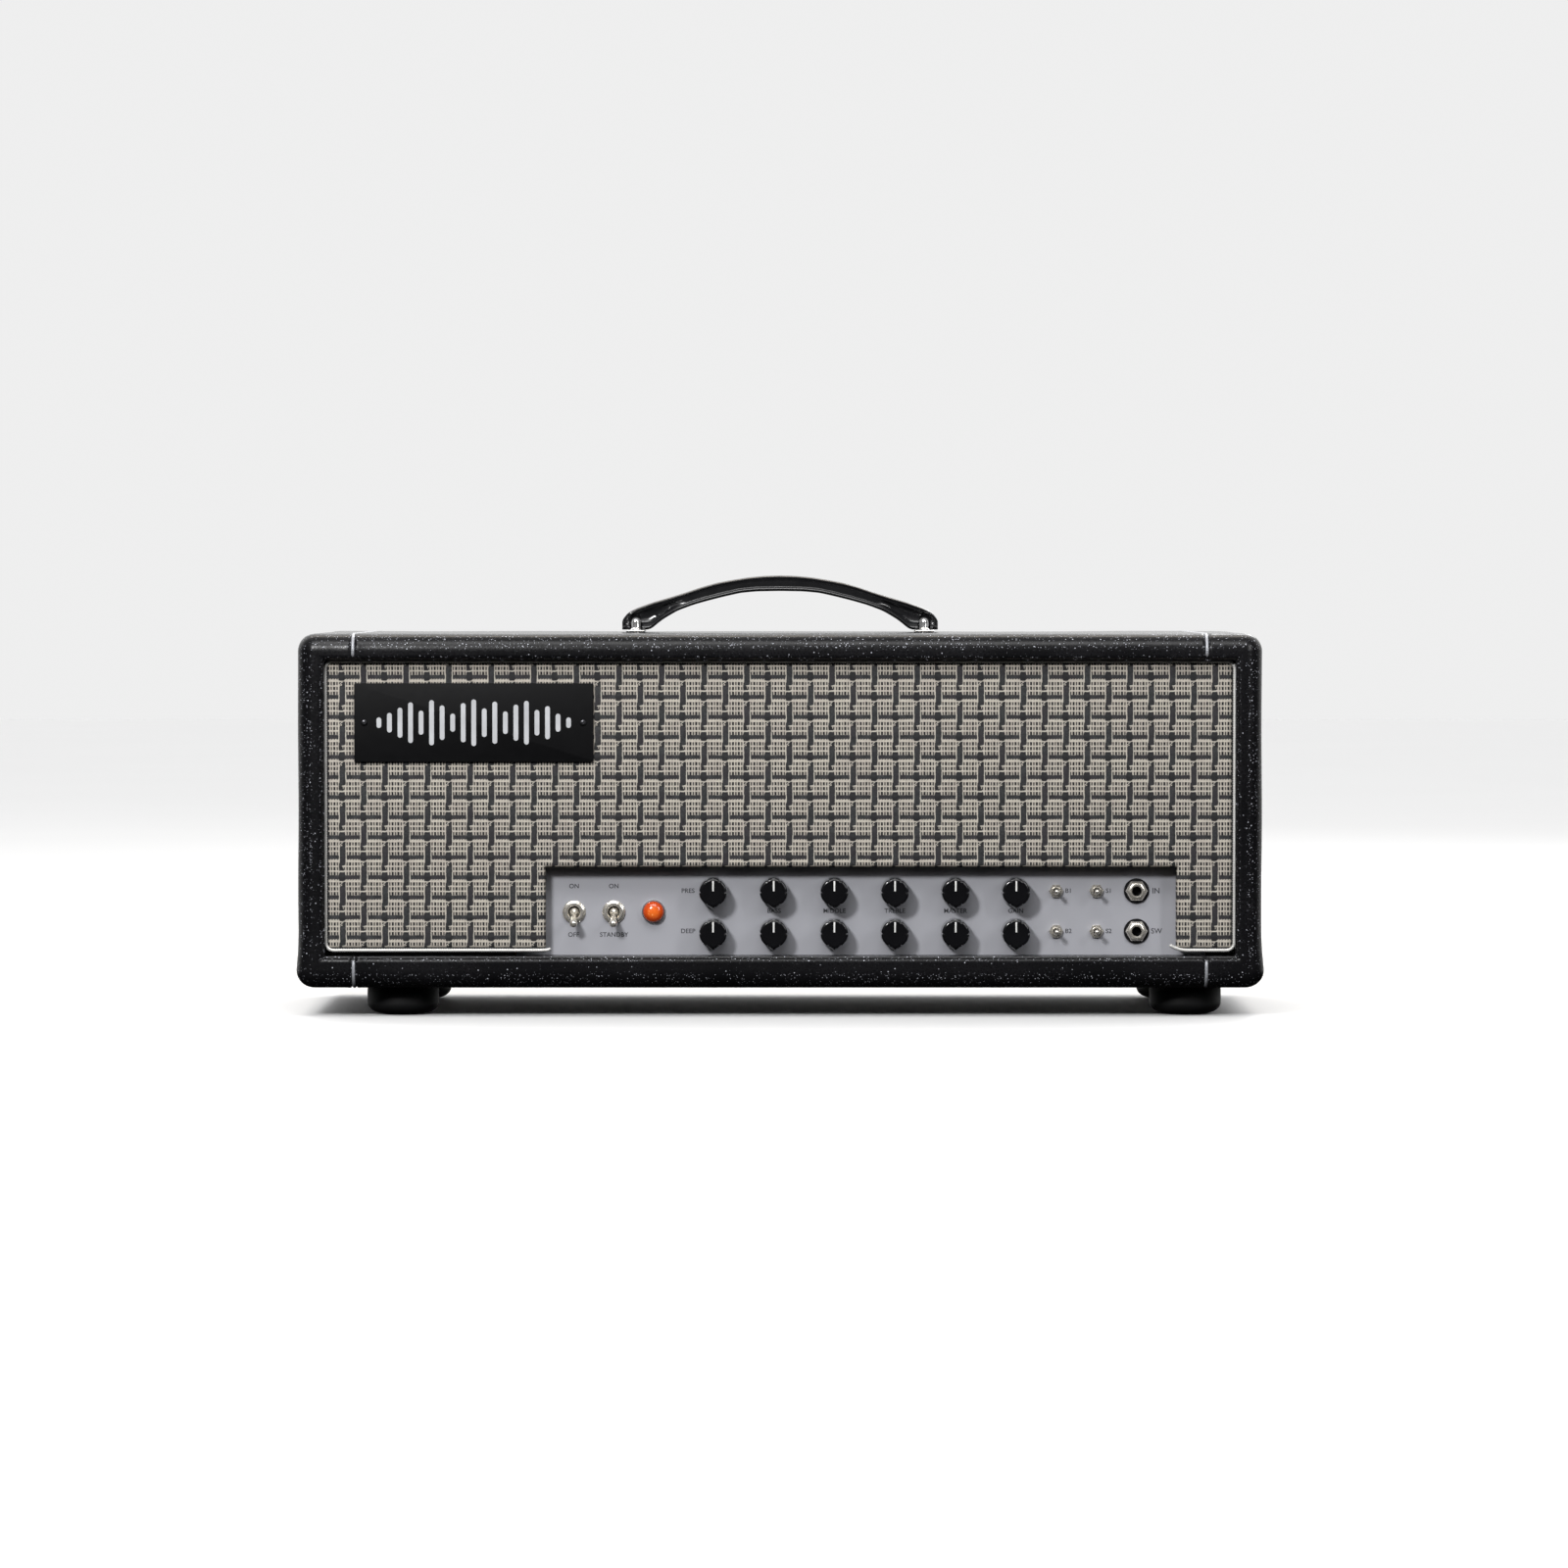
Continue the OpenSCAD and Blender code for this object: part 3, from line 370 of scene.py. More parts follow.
# Name, colour, roughness, then grain, bump strength and spread of the roughness.
PLASTICS = {
    "ink": ("label_ink", (0.045, 0.045, 0.052), 0.5, 1800.0),
    "knob": ("knob_black", (0.005, 0.005, 0.006), 0.17, 700.0, 0.05, 0.05, CLEAR),
    "white": ("pointer_white", (0.80, 0.80, 0.78), 0.42, 1500.0, 0.1),
    "jack": ("jack_black", (0.010, 0.010, 0.011), 0.25, 900.0, 0.08),
    "plate": ("plate_black", (0.0045, 0.0045, 0.005), 0.5, 1600.0, 0.16, 0.08,
              {"Specular_IOR_Level": 0.08}),
    "bars": ("plate_grey", (0.53, 0.54, 0.56), 0.38, 1600.0, 0.1),
    "handle": ("handle_black", (0.0075, 0.0075, 0.0085), 0.24, 1300.0, 0.22, 0.08, WAXED),
    "rubber": ("foot_rubber", (0.007, 0.007, 0.0075), 0.6, 1100.0, 0.35, 0.1, {"Specular_IOR_Level": 0.25}),
    "vent": ("vent_powder", (0.016, 0.016, 0.017), 0.5, 2400.0, 0.4, 0.1),
    "iron": ("transformer_black", (0.016, 0.016, 0.018), 0.42, 700.0, 0.3, 0.12),
    "base": ("valve_base", (0.020, 0.016, 0.014), 0.3, 600.0),
    "ceramic": ("ceramic", (0.70, 0.67, 0.59), 0.35, 500.0, 0.1),
    "sleeve": ("capacitor_sleeve", (0.015, 0.025, 0.10), 0.3, 300.0, 0.1),
    "board": ("board_green", (0.018, 0.10, 0.035), 0.4, 500.0, 0.15),
    "parts": ("component_body", (0.42, 0.20, 0.05), 0.35, 250.0, 0.1),
}
# Name, colour, roughness and its spread, then scale, stretch and metalness.
METALS = {
    "chrome": ("bright_chrome", (0.84, 0.84, 0.84), 0.12, 0.05, 160.0, None, 0.86),
    "nickel": ("bright_nickel", (0.82, 0.78, 0.71), 0.23, 0.08, 160.0, None, 0.78),
    "zinc": ("zinc_plate", (0.60, 0.60, 0.58), 0.34, 0.12),
    "dark_steel": ("blackened_steel", (0.06, 0.06, 0.065), 0.38, 0.1),
    "alu": ("chassis_aluminium", (0.66, 0.67, 0.69), 0.34, 0.12, 90.0, (1, 22, 22)),
    "pot": ("plated_steel", (0.50, 0.50, 0.48), 0.32, 0.12),
    "anode": ("anode_grey", (0.17, 0.17, 0.18), 0.55, 0.1),
}
M = {
    "vinyl": vinyl_material("sparkle_vinyl"),
    "back": vinyl_material("back_vinyl", 0.7),
    "cloth": cloth_material(),
    "cord": cord_material("silver_cord", (0.72, 0.71, 0.685), 0.38),
    # the edge cords: the same silver cord as round the grille, coloured darker as painted shade in their
    # grooves
    "edge": cord_material("shaded_silver_edge_cord", (0.42, 0.43, 0.46), 0.28),
    "panel": panel_material(),
    "jewel": jewel_material(),
    "glass": glass_material(),
    "ply": wood_material("birch_ply", (0.52, 0.37, 0.22), (0.66, 0.50, 0.32)),
    "baffle": wood_material("baffle_black", (0.010, 0.010, 0.010), (0.022, 0.021, 0.020), 0.7),
    **{k: plastic_material(*v) for k, v in PLASTICS.items()},
    **{k: metal_material(*v) for k, v in METALS.items()},
}


# ---- mesh helpers


def link(name, data):
    """A new object in the scene."""
    o = bpy.data.objects.new(name, data)
    bpy.context.scene.collection.objects.link(o)
    return o


def declared(name, mesh, body=BODY, nodes=()):
    """A visible piece, with its body and the CAD nodes that it stands for."""
    o = link(name, mesh)
    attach(o, body)
    if nodes:
        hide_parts(*nodes)
    return o


def mesh_mm(name, verts, faces):
    """A mesh from points in millimetres."""
    me = bpy.data.meshes.new(name)
    me.from_pydata((np.asarray(verts, float) * MM).tolist(), [], [tuple(f) for f in faces])
    return me


def cleaned(me, weld=0.0):
    """Turns a mesh's faces outwards; with a weld distance it also joins near points and is smooth."""
    bm = bmesh.new()
    bm.from_mesh(me)
    if weld:
        bmesh.ops.remove_doubles(bm, verts=bm.verts, dist=weld)
        for f in bm.faces:
            f.smooth = True
    bmesh.ops.recalc_face_normals(bm, faces=bm.faces)
    bm.to_mesh(me)
    bm.free()
    return me


def sharp(o, angle):
    """Marks edges over the angle as sharp, so that flats stay flat under smooth shading."""
    limit = math.radians(angle)
    bm = bmesh.new()
    bm.from_mesh(o.data)
    for e in bm.edges:
        if len(e.link_faces) == 2 and e.calc_face_angle(0.0) > limit:
            e.smooth = False
    bm.to_mesh(o.data)
    bm.free()
    return o


class Mesh:
    """Collects vertices, faces and material indices of several shapes."""

    def __init__(self):
        self.v, self.f, self.i = [], [], []

    def grid(self, points, loop_u=False, loop_v=False, mat=0, cap=False):
        """Quads over points[u][v]; loops close a direction, cap fills the two end rows."""
        p = np.asarray(points, float)
        nu, nv = p.shape[:2]
        s = len(self.v)
        self.v += p.reshape(-1, 3).tolist()
        for a in range(nu if loop_u else nu - 1):
            b = (a + 1) % nu
            for c in range(nv if loop_v else nv - 1):
                d = (c + 1) % nv
                self.f.append((s + a * nv + c, s + b * nv + c, s + b * nv + d, s + a * nv + d))
                self.i.append(mat)
        if cap:
            for row in (0, nu - 1):
                self.f.append([s + row * nv + c for c in range(nv)])
                self.i.append(mat)

    def lathe(self, profile, place, n, mat=0):
        """Turns (radius, height) points about a local +Z that place() puts in the frame."""
        rings = []
        for r, h in profile:
            rings.append([place(r * math.cos(t), r * math.sin(t), h)
                          for t in np.linspace(0, 2 * math.pi, n, endpoint=False)])
        ring = profile[0][0] > 0.2 and profile[-1][0] > 0.2
        self.grid(rings, loop_u=ring, loop_v=True, mat=mat, cap=not ring)

    def box(self, a, b, c=0.0):
        """A box between two corners, with its edges cut off by c."""
        (x0, y0, z0), (x1, y1, z1) = a, b
        if not c:
            outline = [(x0, y0), (x1, y0), (x1, y1), (x0, y1)]
            rings = [[(x, y, z) for x, y in outline] for z in (z0, z1)]
        else:
            def ring(e, z):
                return [(x0 + e + c, y0 + e, z), (x1 - e - c, y0 + e, z), (x1 - e, y0 + e + c, z),
                        (x1 - e, y1 - e - c, z), (x1 - e - c, y1 - e, z), (x0 + e + c, y1 - e, z),
                        (x0 + e, y1 - e - c, z), (x0 + e, y0 + e + c, z)]
            rings = [ring(c, z0), ring(0, z0 + c), ring(0, z1 - c), ring(c, z1)]
        self.grid(rings, loop_v=True, cap=True)

    def piece(self, name, mats, slot, body=BODY, nodes=(), angle=35.0):
        """The collected shapes as one piece; angle is where its smooth shading breaks."""
        me = mesh_mm(name, self.v, self.f)
        for m in [mats] if isinstance(mats, str) else mats:
            me.materials.append(M[m])
        me.polygons.foreach_set("material_index", np.asarray(self.i, np.int32))
        return sharp(declared(name, cleaned(me, 2e-6), body, nodes), angle)


def front(x, z, y):
    """Local +Z points out of the front, local +Y up."""
    return lambda a, b, h: (x + a, y - h, z + b)


def rear(x, z, y):
    """The same out of the back."""
    return lambda a, b, h: (x - a, y + h, z + b)


def upright(x, y, z):
    """The local axes along the frame's own."""
    return lambda a, b, h: (x + a, y + b, z + h)


def cos_sin(a):
    """Cosine and sine of an angle in degrees."""
    return math.cos(math.radians(a)), math.sin(math.radians(a))


def arc(cx, cy, r, a0, a1, n):
    """Points on an arc, its angles in degrees."""
    return [(cx + r * c, cy + r * s) for c, s in map(cos_sin, np.linspace(a0, a1, n))]


def dome(r, up, angles, rise=None):
    """A turned profile that rounds over to a tip, from height up; rise flattens it."""
    rise = r if rise is None else rise
    return [(r * c, up + rise * s) for c, s in map(cos_sin, angles)]


def hexagon(af, n=8):
    """Points round a hexagon with a corner upwards, its corners hardly blunted."""
    out = []
    for k in range(6 * n):
        t = 2 * math.pi * k / (6 * n)
        r = af / 2 / math.cos((t + math.pi / 6) % (math.pi / 3) - math.pi / 6)
        r = min(r, af / 2 * 1.155)
        out.append((r * math.sin(t), r * math.cos(t)))
    return out


def smooth(t):
    """0 up to 0, 1 from 1 on, smooth between."""
    t = np.clip(t, 0, 1)
    return t * t * (3 - 2 * t)


def rope(mesh, path, radius, pitch, step, depth, taper=0.0, strands=3):
    """A twisted cord along a path of points; its ends shrink over the taper length."""
    p = np.asarray(path, float)
    seg = np.linalg.norm(np.diff(p, axis=0), axis=1)
    s = np.concatenate([[0], np.cumsum(seg)])
    t = np.linspace(0, s[-1], int(s[-1] / step) + 1)
    q = np.stack([np.interp(t, s, p[:, k]) for k in range(3)], 1)
    d = np.gradient(q, axis=0)
    d /= np.linalg.norm(d, axis=1)[:, None]
    side = np.array([0.0, 1.0, 0.0]) if abs(d[len(d) // 2][1]) < 0.5 else np.array([1.0, 0, 0])
    rings = []
    a = np.linspace(0, 2 * math.pi, 12, endpoint=False)
    for k in range(len(q)):
        e1 = side - d[k] * side.dot(d[k])
        if np.linalg.norm(e1) < 1e-3:
            e1 = np.array([0, 0, 1.0])
        e1 /= np.linalg.norm(e1)
        e2 = np.cross(d[k], e1)
        end = min(t[k], t[-1] - t[k])
        size = smooth(end / taper) * 0.8 + 0.2 if taper else min(1.0, 0.35 + end / 0.9)
        twist = 2 * math.pi * t[k] / pitch
        r = radius * size * (1 - depth + depth * np.cos(strands * (a - twist)))
        rings.append(q[k] + r[:, None] * (np.cos(a)[:, None] * e1 + np.sin(a)[:, None] * e2))
        side = e1
    mesh.grid(rings, loop_v=True, cap=True)


# ---- cabinet covering


def covering():
    """The vinyl as one closed skin: round the outside, over both rims and into the openings."""
    levels = []  # y, how far in from the outside, normal along y and outwards, share of the grooves

    def half(sign, y_end):
        """From the end of the turned edge to the start of the outside, at one rim."""
        rim = sign * HD
        out = [(y, ("in", 0.0), 0, -1, 0)
               for y in (y_end, (y_end * 2 + rim - sign * 3) / 3, rim - sign * 4)]
        for c, s in map(cos_sin, np.linspace(0, 90, 7)):
            out.append((rim - sign * 3 * (1 - s), ("in", 3 * (1 - c)), sign * s, -c, s * 0.9))
        for k in (0.15, 0.5, 0.85):
            out.append((rim, ("mid", k), sign, 0, 1.0))
        for c, s in map(cos_sin, np.linspace(0, 90, 12)):
            out.append((rim - sign * EDGE_R * (1 - c), ("out", EDGE_R * (1 - s)), sign * c, s, 1.0))
        return out

    y_front, y_back = PANEL_Y - 0.2, REAR_Y + 0.6
    levels += half(-1, y_front)
    for y in np.linspace(-HD + EDGE_R, HD - EDGE_R, 22)[1:-1]:
        levels.append((y, ("out", 0.0), 0, 1, 1.0))
    levels += half(1, y_back)[::-1]
    skin = 0.8
    under = [(y_back, ("in", -skin), 0, 0), (HD - 3, ("in", -skin), 0, 0), (HD - skin, ("in", 3), 1, 0),
             (HD - skin, ("out", EDGE_R), 1, 0)]
    for c, s in map(cos_sin, np.linspace(0, 90, 6)):
        under.append((HD - EDGE_R + (EDGE_R - skin) * c, ("out", EDGE_R - (EDGE_R - skin) * s), c, s))
    under += [(-y, how, -ny, nout) for y, how, ny, nout in under[::-1]]
    under[-1] = (y_front, ("in", -skin), 0, 0)
    levels += [(y, how, ny, nout, 1.0) for y, how, ny, nout in under]

    def inset(how, wall):
        kind, v = how
        if kind == "out":
            return v
        if kind == "in":
            return wall - v
        return (wall - 3) + (EDGE_R - (wall - 3)) * v

    groove_x = [d * s + PIPE_X for d in (0.0, 0.9, 1.3, 1.7, 2.3, 3.2, 4.6) for s in (-1, 1)][1:]
    xs = sorted([g * s for g in groove_x for s in (-1, 1)] + [-298.0, 298.0]
                + list(np.linspace(-272, 272, 35)))
    rows = []
    rng = np.random.RandomState(7)
    wave = rng.uniform(-1, 1, (4, 3))
    for y, how, ny, nout, g in levels:
        es, et, eb = inset(how, SIDE_T), inset(how, TOP_T), inset(how, BOTTOM_T)
        a, za, zb = HW - es, Z0 + eb, Z1 - et
        r = max(EDGE_R - es, 1.2)
        ring = []

        def corner(cx, cz, a0):
            ring.extend((x, y, z) for x, z in arc(cx, cz, r, a0, a0 + 90, 11))

        def groove(x, z, out):
            off = abs(abs(x) - PIPE_X)
            dip = 1.3 * (1 - float(smooth((off - 1.0) / 1.3))) * g
            dip -= 0.15 * math.exp(-((off - 3.2) / 0.9) ** 2) * g
            ring.append((x, y - ny * dip, z - out * nout * dip))

        for z in np.linspace(za + r, zb - r, 18)[1:-1]:
            ring.append((a, y, z))
        corner(a - r, zb - r, 0)
        for x in xs[::-1]:
            groove(x, zb, 1)
        corner(-a + r, zb - r, 90)
        for z in np.linspace(zb - r, za + r, 18)[1:-1]:
            ring.append((-a, y, z))
        corner(-a + r, za + r, 180)
        for x in xs:
            groove(x, za, -1)
        corner(a - r, za + r, 270)
        rows.append(ring)
    p = np.array(rows)
    # The covering bulges a little where it is folded at the bottom corners, and is nowhere quite flat.
    low = smooth((Z0 + 27 - p[..., 2]) / 7) * smooth((np.abs(p[..., 0]) - 300) / 18)
    p[..., 0] += np.sign(p[..., 0]) * low * 1.7
    for k in range(4):
        w = np.sin(p[..., 0] * 0.011 * (k + 1) + wave[k, 0] * 3) * np.sin(
            p[..., 1] * 0.017 * (k + 1) + p[..., 2] * 0.015 * (k + 1) + wave[k, 1] * 3)
        outside = smooth((np.abs(p[..., 0]) - HW + 2) / 2)
        p[..., 0] += np.sign(p[..., 0]) * outside * w * 0.10
        roof = smooth((p[..., 2] - Z1 + 2) / 2)
        p[..., 2] += roof * (w - 0.6) * 0.10
    m = Mesh()
    m.grid(p, loop_u=True, loop_v=True)
    m.piece("vinyl_skin", "vinyl", "sparkle_vinyl", nodes=["vinyl_covering"], angle=50)


def edge_cords():
    """Four twisted cords that lie in the grooves of the top and bottom boards."""
    m = Mesh()
    depth, r = 0.85, 1.15
    for x in (-PIPE_X, PIPE_X):
        for top in (True, False):
            path = []
            wall = TOP_T if top else BOTTOM_T
            for sign in (-1, 1):
                part = [(sign * (HD - depth - 3.2), wall - 0.6), (sign * (HD - depth - 1.2), wall - 1.8),
                        (sign * (HD - depth - 0.3), wall - 3.6), (sign * (HD - depth), wall - 6)]
                part += [(sign * (HD - EDGE_R + (EDGE_R - depth) * c), EDGE_R - (EDGE_R - depth) * s)
                         for c, s in map(cos_sin, np.linspace(0, 90, 12))]
                path += part if sign < 0 else part[::-1]
            pts = [(x, y, Z1 - e if top else Z0 + e) for y, e in path]
            rope(m, pts, r, pitch=7.0, step=0.6, depth=0.05, taper=5.0)
    m.piece("edge_cords", "edge", "silver_piping", nodes=["edge_piping"], angle=80)


def node_copy(node):
    """A bmesh copy of a CAD node's mesh."""
    bm = bmesh.new()
    bm.from_mesh(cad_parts[node].data)
    bmesh.ops.remove_doubles(bm, verts=bm.verts, dist=1e-6)
    return bm


def copy_piece(bm, node, suffix, mat, body=BODY):
    """Turns an edited copy of a CAD node into the piece that stands for it."""
    bmesh.ops.recalc_face_normals(bm, faces=bm.faces)
    me = bpy.data.meshes.new(node + suffix)
    bm.to_mesh(me)
    bm.free()
    me.materials.append(M[mat])
    return declared(node + suffix, me, body, [node])


def tucked_board(node):
    """A copy of a board, drawn in under the covering along its rounded edges and its two rims."""
    bm = node_copy(node)
    core, deep, near, rim = EDGE_R + 0.5, EDGE_R - 2.0, 4.5, HD - 5.0
    mid = (Z0 + Z1) / 2
    for v in bm.verts:
        p = np.array(v.co) / MM - [0, 0, mid]
        half = np.array([HW, HD, (Z1 - Z0) / 2]) - core
        q = np.clip(p, -half, half)
        far = np.linalg.norm(p - q)
        if far > deep:
            p = q + (p - q) * deep / far
        z = mid + p[2]
        inner = abs(p[0]) < HW - SIDE_T + near and Z0 + BOTTOM_T - near < z < Z1 - TOP_T + near
        if inner and abs(p[1]) > rim:
            p[1] = math.copysign(rim, p[1])
        v.co = (p + [0, 0, mid]) * MM
    copy_piece(bm, node, "_wood", "ply")


covering()
edge_cords()
for side in ("top", "bottom", "left", "right"):
    tucked_board("cabinet_" + side + "_board")


# ---- grille


def weave_height(x, z):
    """How far the cloth stands proud of its flat plane, from the same weave as its material."""
    X, Z = (x - STRIP_X) / PITCH_X + 0.5, (z - STRIP_Z) / PITCH_Z + 0.5
    u, v = X % 1 - 0.5, Z % 1 - 0.5
    under = ((np.floor(X) + np.floor(Z)) % 2 > 0.5).astype(float)
    over = 1 - under
    pad = smooth((np.abs(u) - 0.14) / 0.1) * smooth((np.abs(v) - 0.10) / 0.1)
    up = 1 - smooth((np.abs(u + 0.01) - 0.10) / 0.06)
    flat = 1 - smooth((np.abs(v) - 0.08) / 0.05)
    h = 0.22 * pad + up * over * (0.12 + 0.30 * np.cos(v * math.pi))
    h -= up * under * 0.14 * smooth((np.abs(v) - 0.1) / 0.1)
    return h + flat * under * (0.08 + 0.18 * np.cos(u * math.pi)) - flat * over * (1 - up) * 0.14


def grille_cloth():
    """The stretched cloth: a woven sheet whose edges turn back round the baffle."""
    turn = 1.5
    xs = np.unique(np.concatenate([np.linspace(-GX, CUT_X0, 140), np.linspace(CUT_X0, CUT_X1, 382),
                                   np.linspace(CUT_X1, GX, 36)]))
    zs = np.unique(np.concatenate([np.linspace(GZ0, CUT_Z, 50), np.linspace(CUT_Z, GZ1, 126)]))
    xx, zz = np.meshgrid(xs, zs, indexing="ij")
    outer = np.minimum.reduce([GX - np.abs(xx), zz - GZ0, GZ1 - zz])
    dx = np.maximum(CUT_X0 - xx, xx - CUT_X1)
    dz = zz - CUT_Z
    hole = np.where((dx > 0) & (dz > 0), np.hypot(np.maximum(dx, 0), np.maximum(dz, 0)),
                    np.maximum(dx, dz))
    near = np.clip(np.minimum(outer, hole), 0, turn)
    back = turn - np.sqrt(np.maximum(turn**2 - (turn - near) ** 2, 0))
    yy = CLOTH_Y + 0.25 + back - weave_height(xx, zz) * smooth(near / turn) * 0.8
    m = Mesh()
    nu, nv = xx.shape
    m.v = np.stack([xx, yy, zz], -1).reshape(-1, 3).tolist()
    mid_x, mid_z = (xs[1:] + xs[:-1]) / 2, (zs[1:] + zs[:-1]) / 2
    for a in range(nu - 1):
        for c in range(nv - 1):
            if CUT_X0 < mid_x[a] < CUT_X1 and mid_z[c] < CUT_Z:
                continue
            m.f.append((a * nv + c, (a + 1) * nv + c, (a + 1) * nv + c + 1, a * nv + c + 1))
            m.i.append(0)
    # The stretches that turn back along the edges of the baffle.
    y0, y1 = CLOTH_Y + 0.25 + turn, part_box("grille_cloth")[1].y / MM - 0.1
    ys = np.linspace(y0, y1, 5)
    low_z = zs[zs <= CUT_Z]
    cut = [*[(CUT_X0, z) for z in low_z], *[(x, CUT_Z) for x in xs[(xs > CUT_X0) & (xs < CUT_X1)]],
           *[(CUT_X1, z) for z in low_z[::-1]]]
    rim = [(CUT_X0, GZ0), *[(x, GZ0) for x in xs[xs < CUT_X0][::-1]], *[(-GX, z) for z in zs[1:]],
           *[(x, GZ1) for x in xs[1:]], *[(GX, z) for z in zs[:-1][::-1]],
           *[(x, GZ0) for x in xs[(xs >= CUT_X1) & (xs < GX)][::-1]]]
    for line in (cut, rim):
        m.grid([[(x, y, z) for x, z in line] for y in ys])
    o = m.piece("grille_weave", "cloth", "basketweave_cloth", nodes=["grille_cloth"], angle=80)


def grille_cord():
    """The twisted cord round the grille, with its two free ends at the cut-out."""
    r, c = 1.3, 5.0
    y = CLOTH_Y - 0.2
    x0, x1 = -CORD_X + 1.1, CORD_X - 1.1
    z0, z1 = CORD_Z0 + 0.9, CORD_Z1 - 1.2
    pts = [(CUT_X0 + 3.6, y - 0.4, z0 + 1.5), (CUT_X0 + 2.6, y - 0.2, z0 + 0.5), (CUT_X0, y, z0 + 0.1),
           (CUT_X0 - 4, y, z0), (x0 + c, y, z0)]
    corners = ((x0 + c, z0 + c, 270), (x0 + c, z1 - c, 180), (x1 - c, z1 - c, 90), (x1 - c, z0 + c, 0))
    for cx, cz, a0 in corners:
        pts += [(px, y, pz) for px, pz in arc(cx, cz, c, a0, a0 - 90, 8)]
    pts += [(CUT_X1 + 6, y, z0), (CUT_X1 + 2, y - 0.1, z0 + 0.5), (CUT_X1 - 2, y - 0.6, z0 + 1.9),
            (CUT_X1 - 5, y - 1.0, z0 + 3.6)]
    m = Mesh()
    rope(m, pts, r, pitch=4.8, step=0.45, depth=0.17)
    m.piece("grille_cord", "cord", "silver_piping", nodes=["grille_piping"], angle=80)


grille_cloth()
grille_cord()


def name_plate():
    """The black plate with a generic row of bars, like a sound wave, in place of a name."""
    lo, hi = box_mm("name_plate")
    cx, cz = (lo.x + hi.x) / 2, (lo.z + hi.z) / 2
    w, h, r = (hi.x - lo.x) / 2, (hi.z - lo.z) / 2, 1.0
    outline = []
    for sx, sz, a0 in ((1, 1, 0), (-1, 1, 90), (-1, -1, 180), (1, -1, 270)):
        outline += arc(sx * (w - r), sz * (h - r), r, a0, a0 + 90, 5)
    m = Mesh()
    place = front(cx, cz, hi.y)
    edge = ((0, 0), (1.6, 0), (1.85, 0.12), (2.0, 0.4))
    m.grid([[place(x * (1 - inset / w), z * (1 - inset / h), up) for x, z in outline]
            for up, inset in edge], loop_v=True, cap=True)
    heights = [7, 13, 20, 27, 16, 30, 23, 12, 26, 31, 19, 28, 15, 24, 29, 17, 22, 12, 7]
    step, half = 7.0, 1.6
    for k, tall in enumerate(heights):
        x = (k - (len(heights) - 1) / 2) * step
        bar = [(x + dx, sz * (tall / 2 - half) + dz)
               for sz, a0 in ((1, 0), (-1, 180)) for dx, dz in arc(0, 0, half, a0, a0 + 180, 9)]
        m.grid([[place(a, b, up) for a, b in bar] for up in (1.9, 2.06)], loop_v=True, mat=1, cap=True)
    m.piece("name_plate_face", ["plate", "bars"], "black_plate", nodes=["name_plate"])
    s = Mesh()
    for x in PLATE_SCREW_X:
        place = front(x, cz, CLOTH_Y - 2.0)
        s.lathe([(1.2, -1.2), (2.1, 0), (2.15, 0.25), (1.75, 0.75), (0.9, 1.0), (0.85, 0.55), (0.1, 0.5)],
                place, 24)
    s.piece("name_plate_screw_heads", "dark_steel", "dark_screws", nodes=["name_plate_screws"])


name_plate()


# ---- controls

KNOB_R = 9.75


def knob_outline(r, n=180):
    """A teardrop: a circle whose lower side is drawn out to a point, with six flutes."""
    tip = r + 2.3
    touch = math.degrees(math.acos(r / tip))
    out = []
    for k in range(n):
        a = 360.0 * k / n - 180.0  # from straight down, clockwise; 0 is up
        down = 180.0 - abs(a)
        if down < touch:
            rad = r / math.cos(math.radians(touch - down))
            rad = min(rad, tip - 0.35 * (1 - down / touch))
        else:
            rad = r
        for f in (-152, -90, -28, 28, 90, 152):
            d = (a - f + 180) % 360 - 180
            rad -= 0.75 * math.exp(-((d / 3.0) ** 2))
        c, s = cos_sin(a)
        out.append((rad * s, rad * c))
    return out


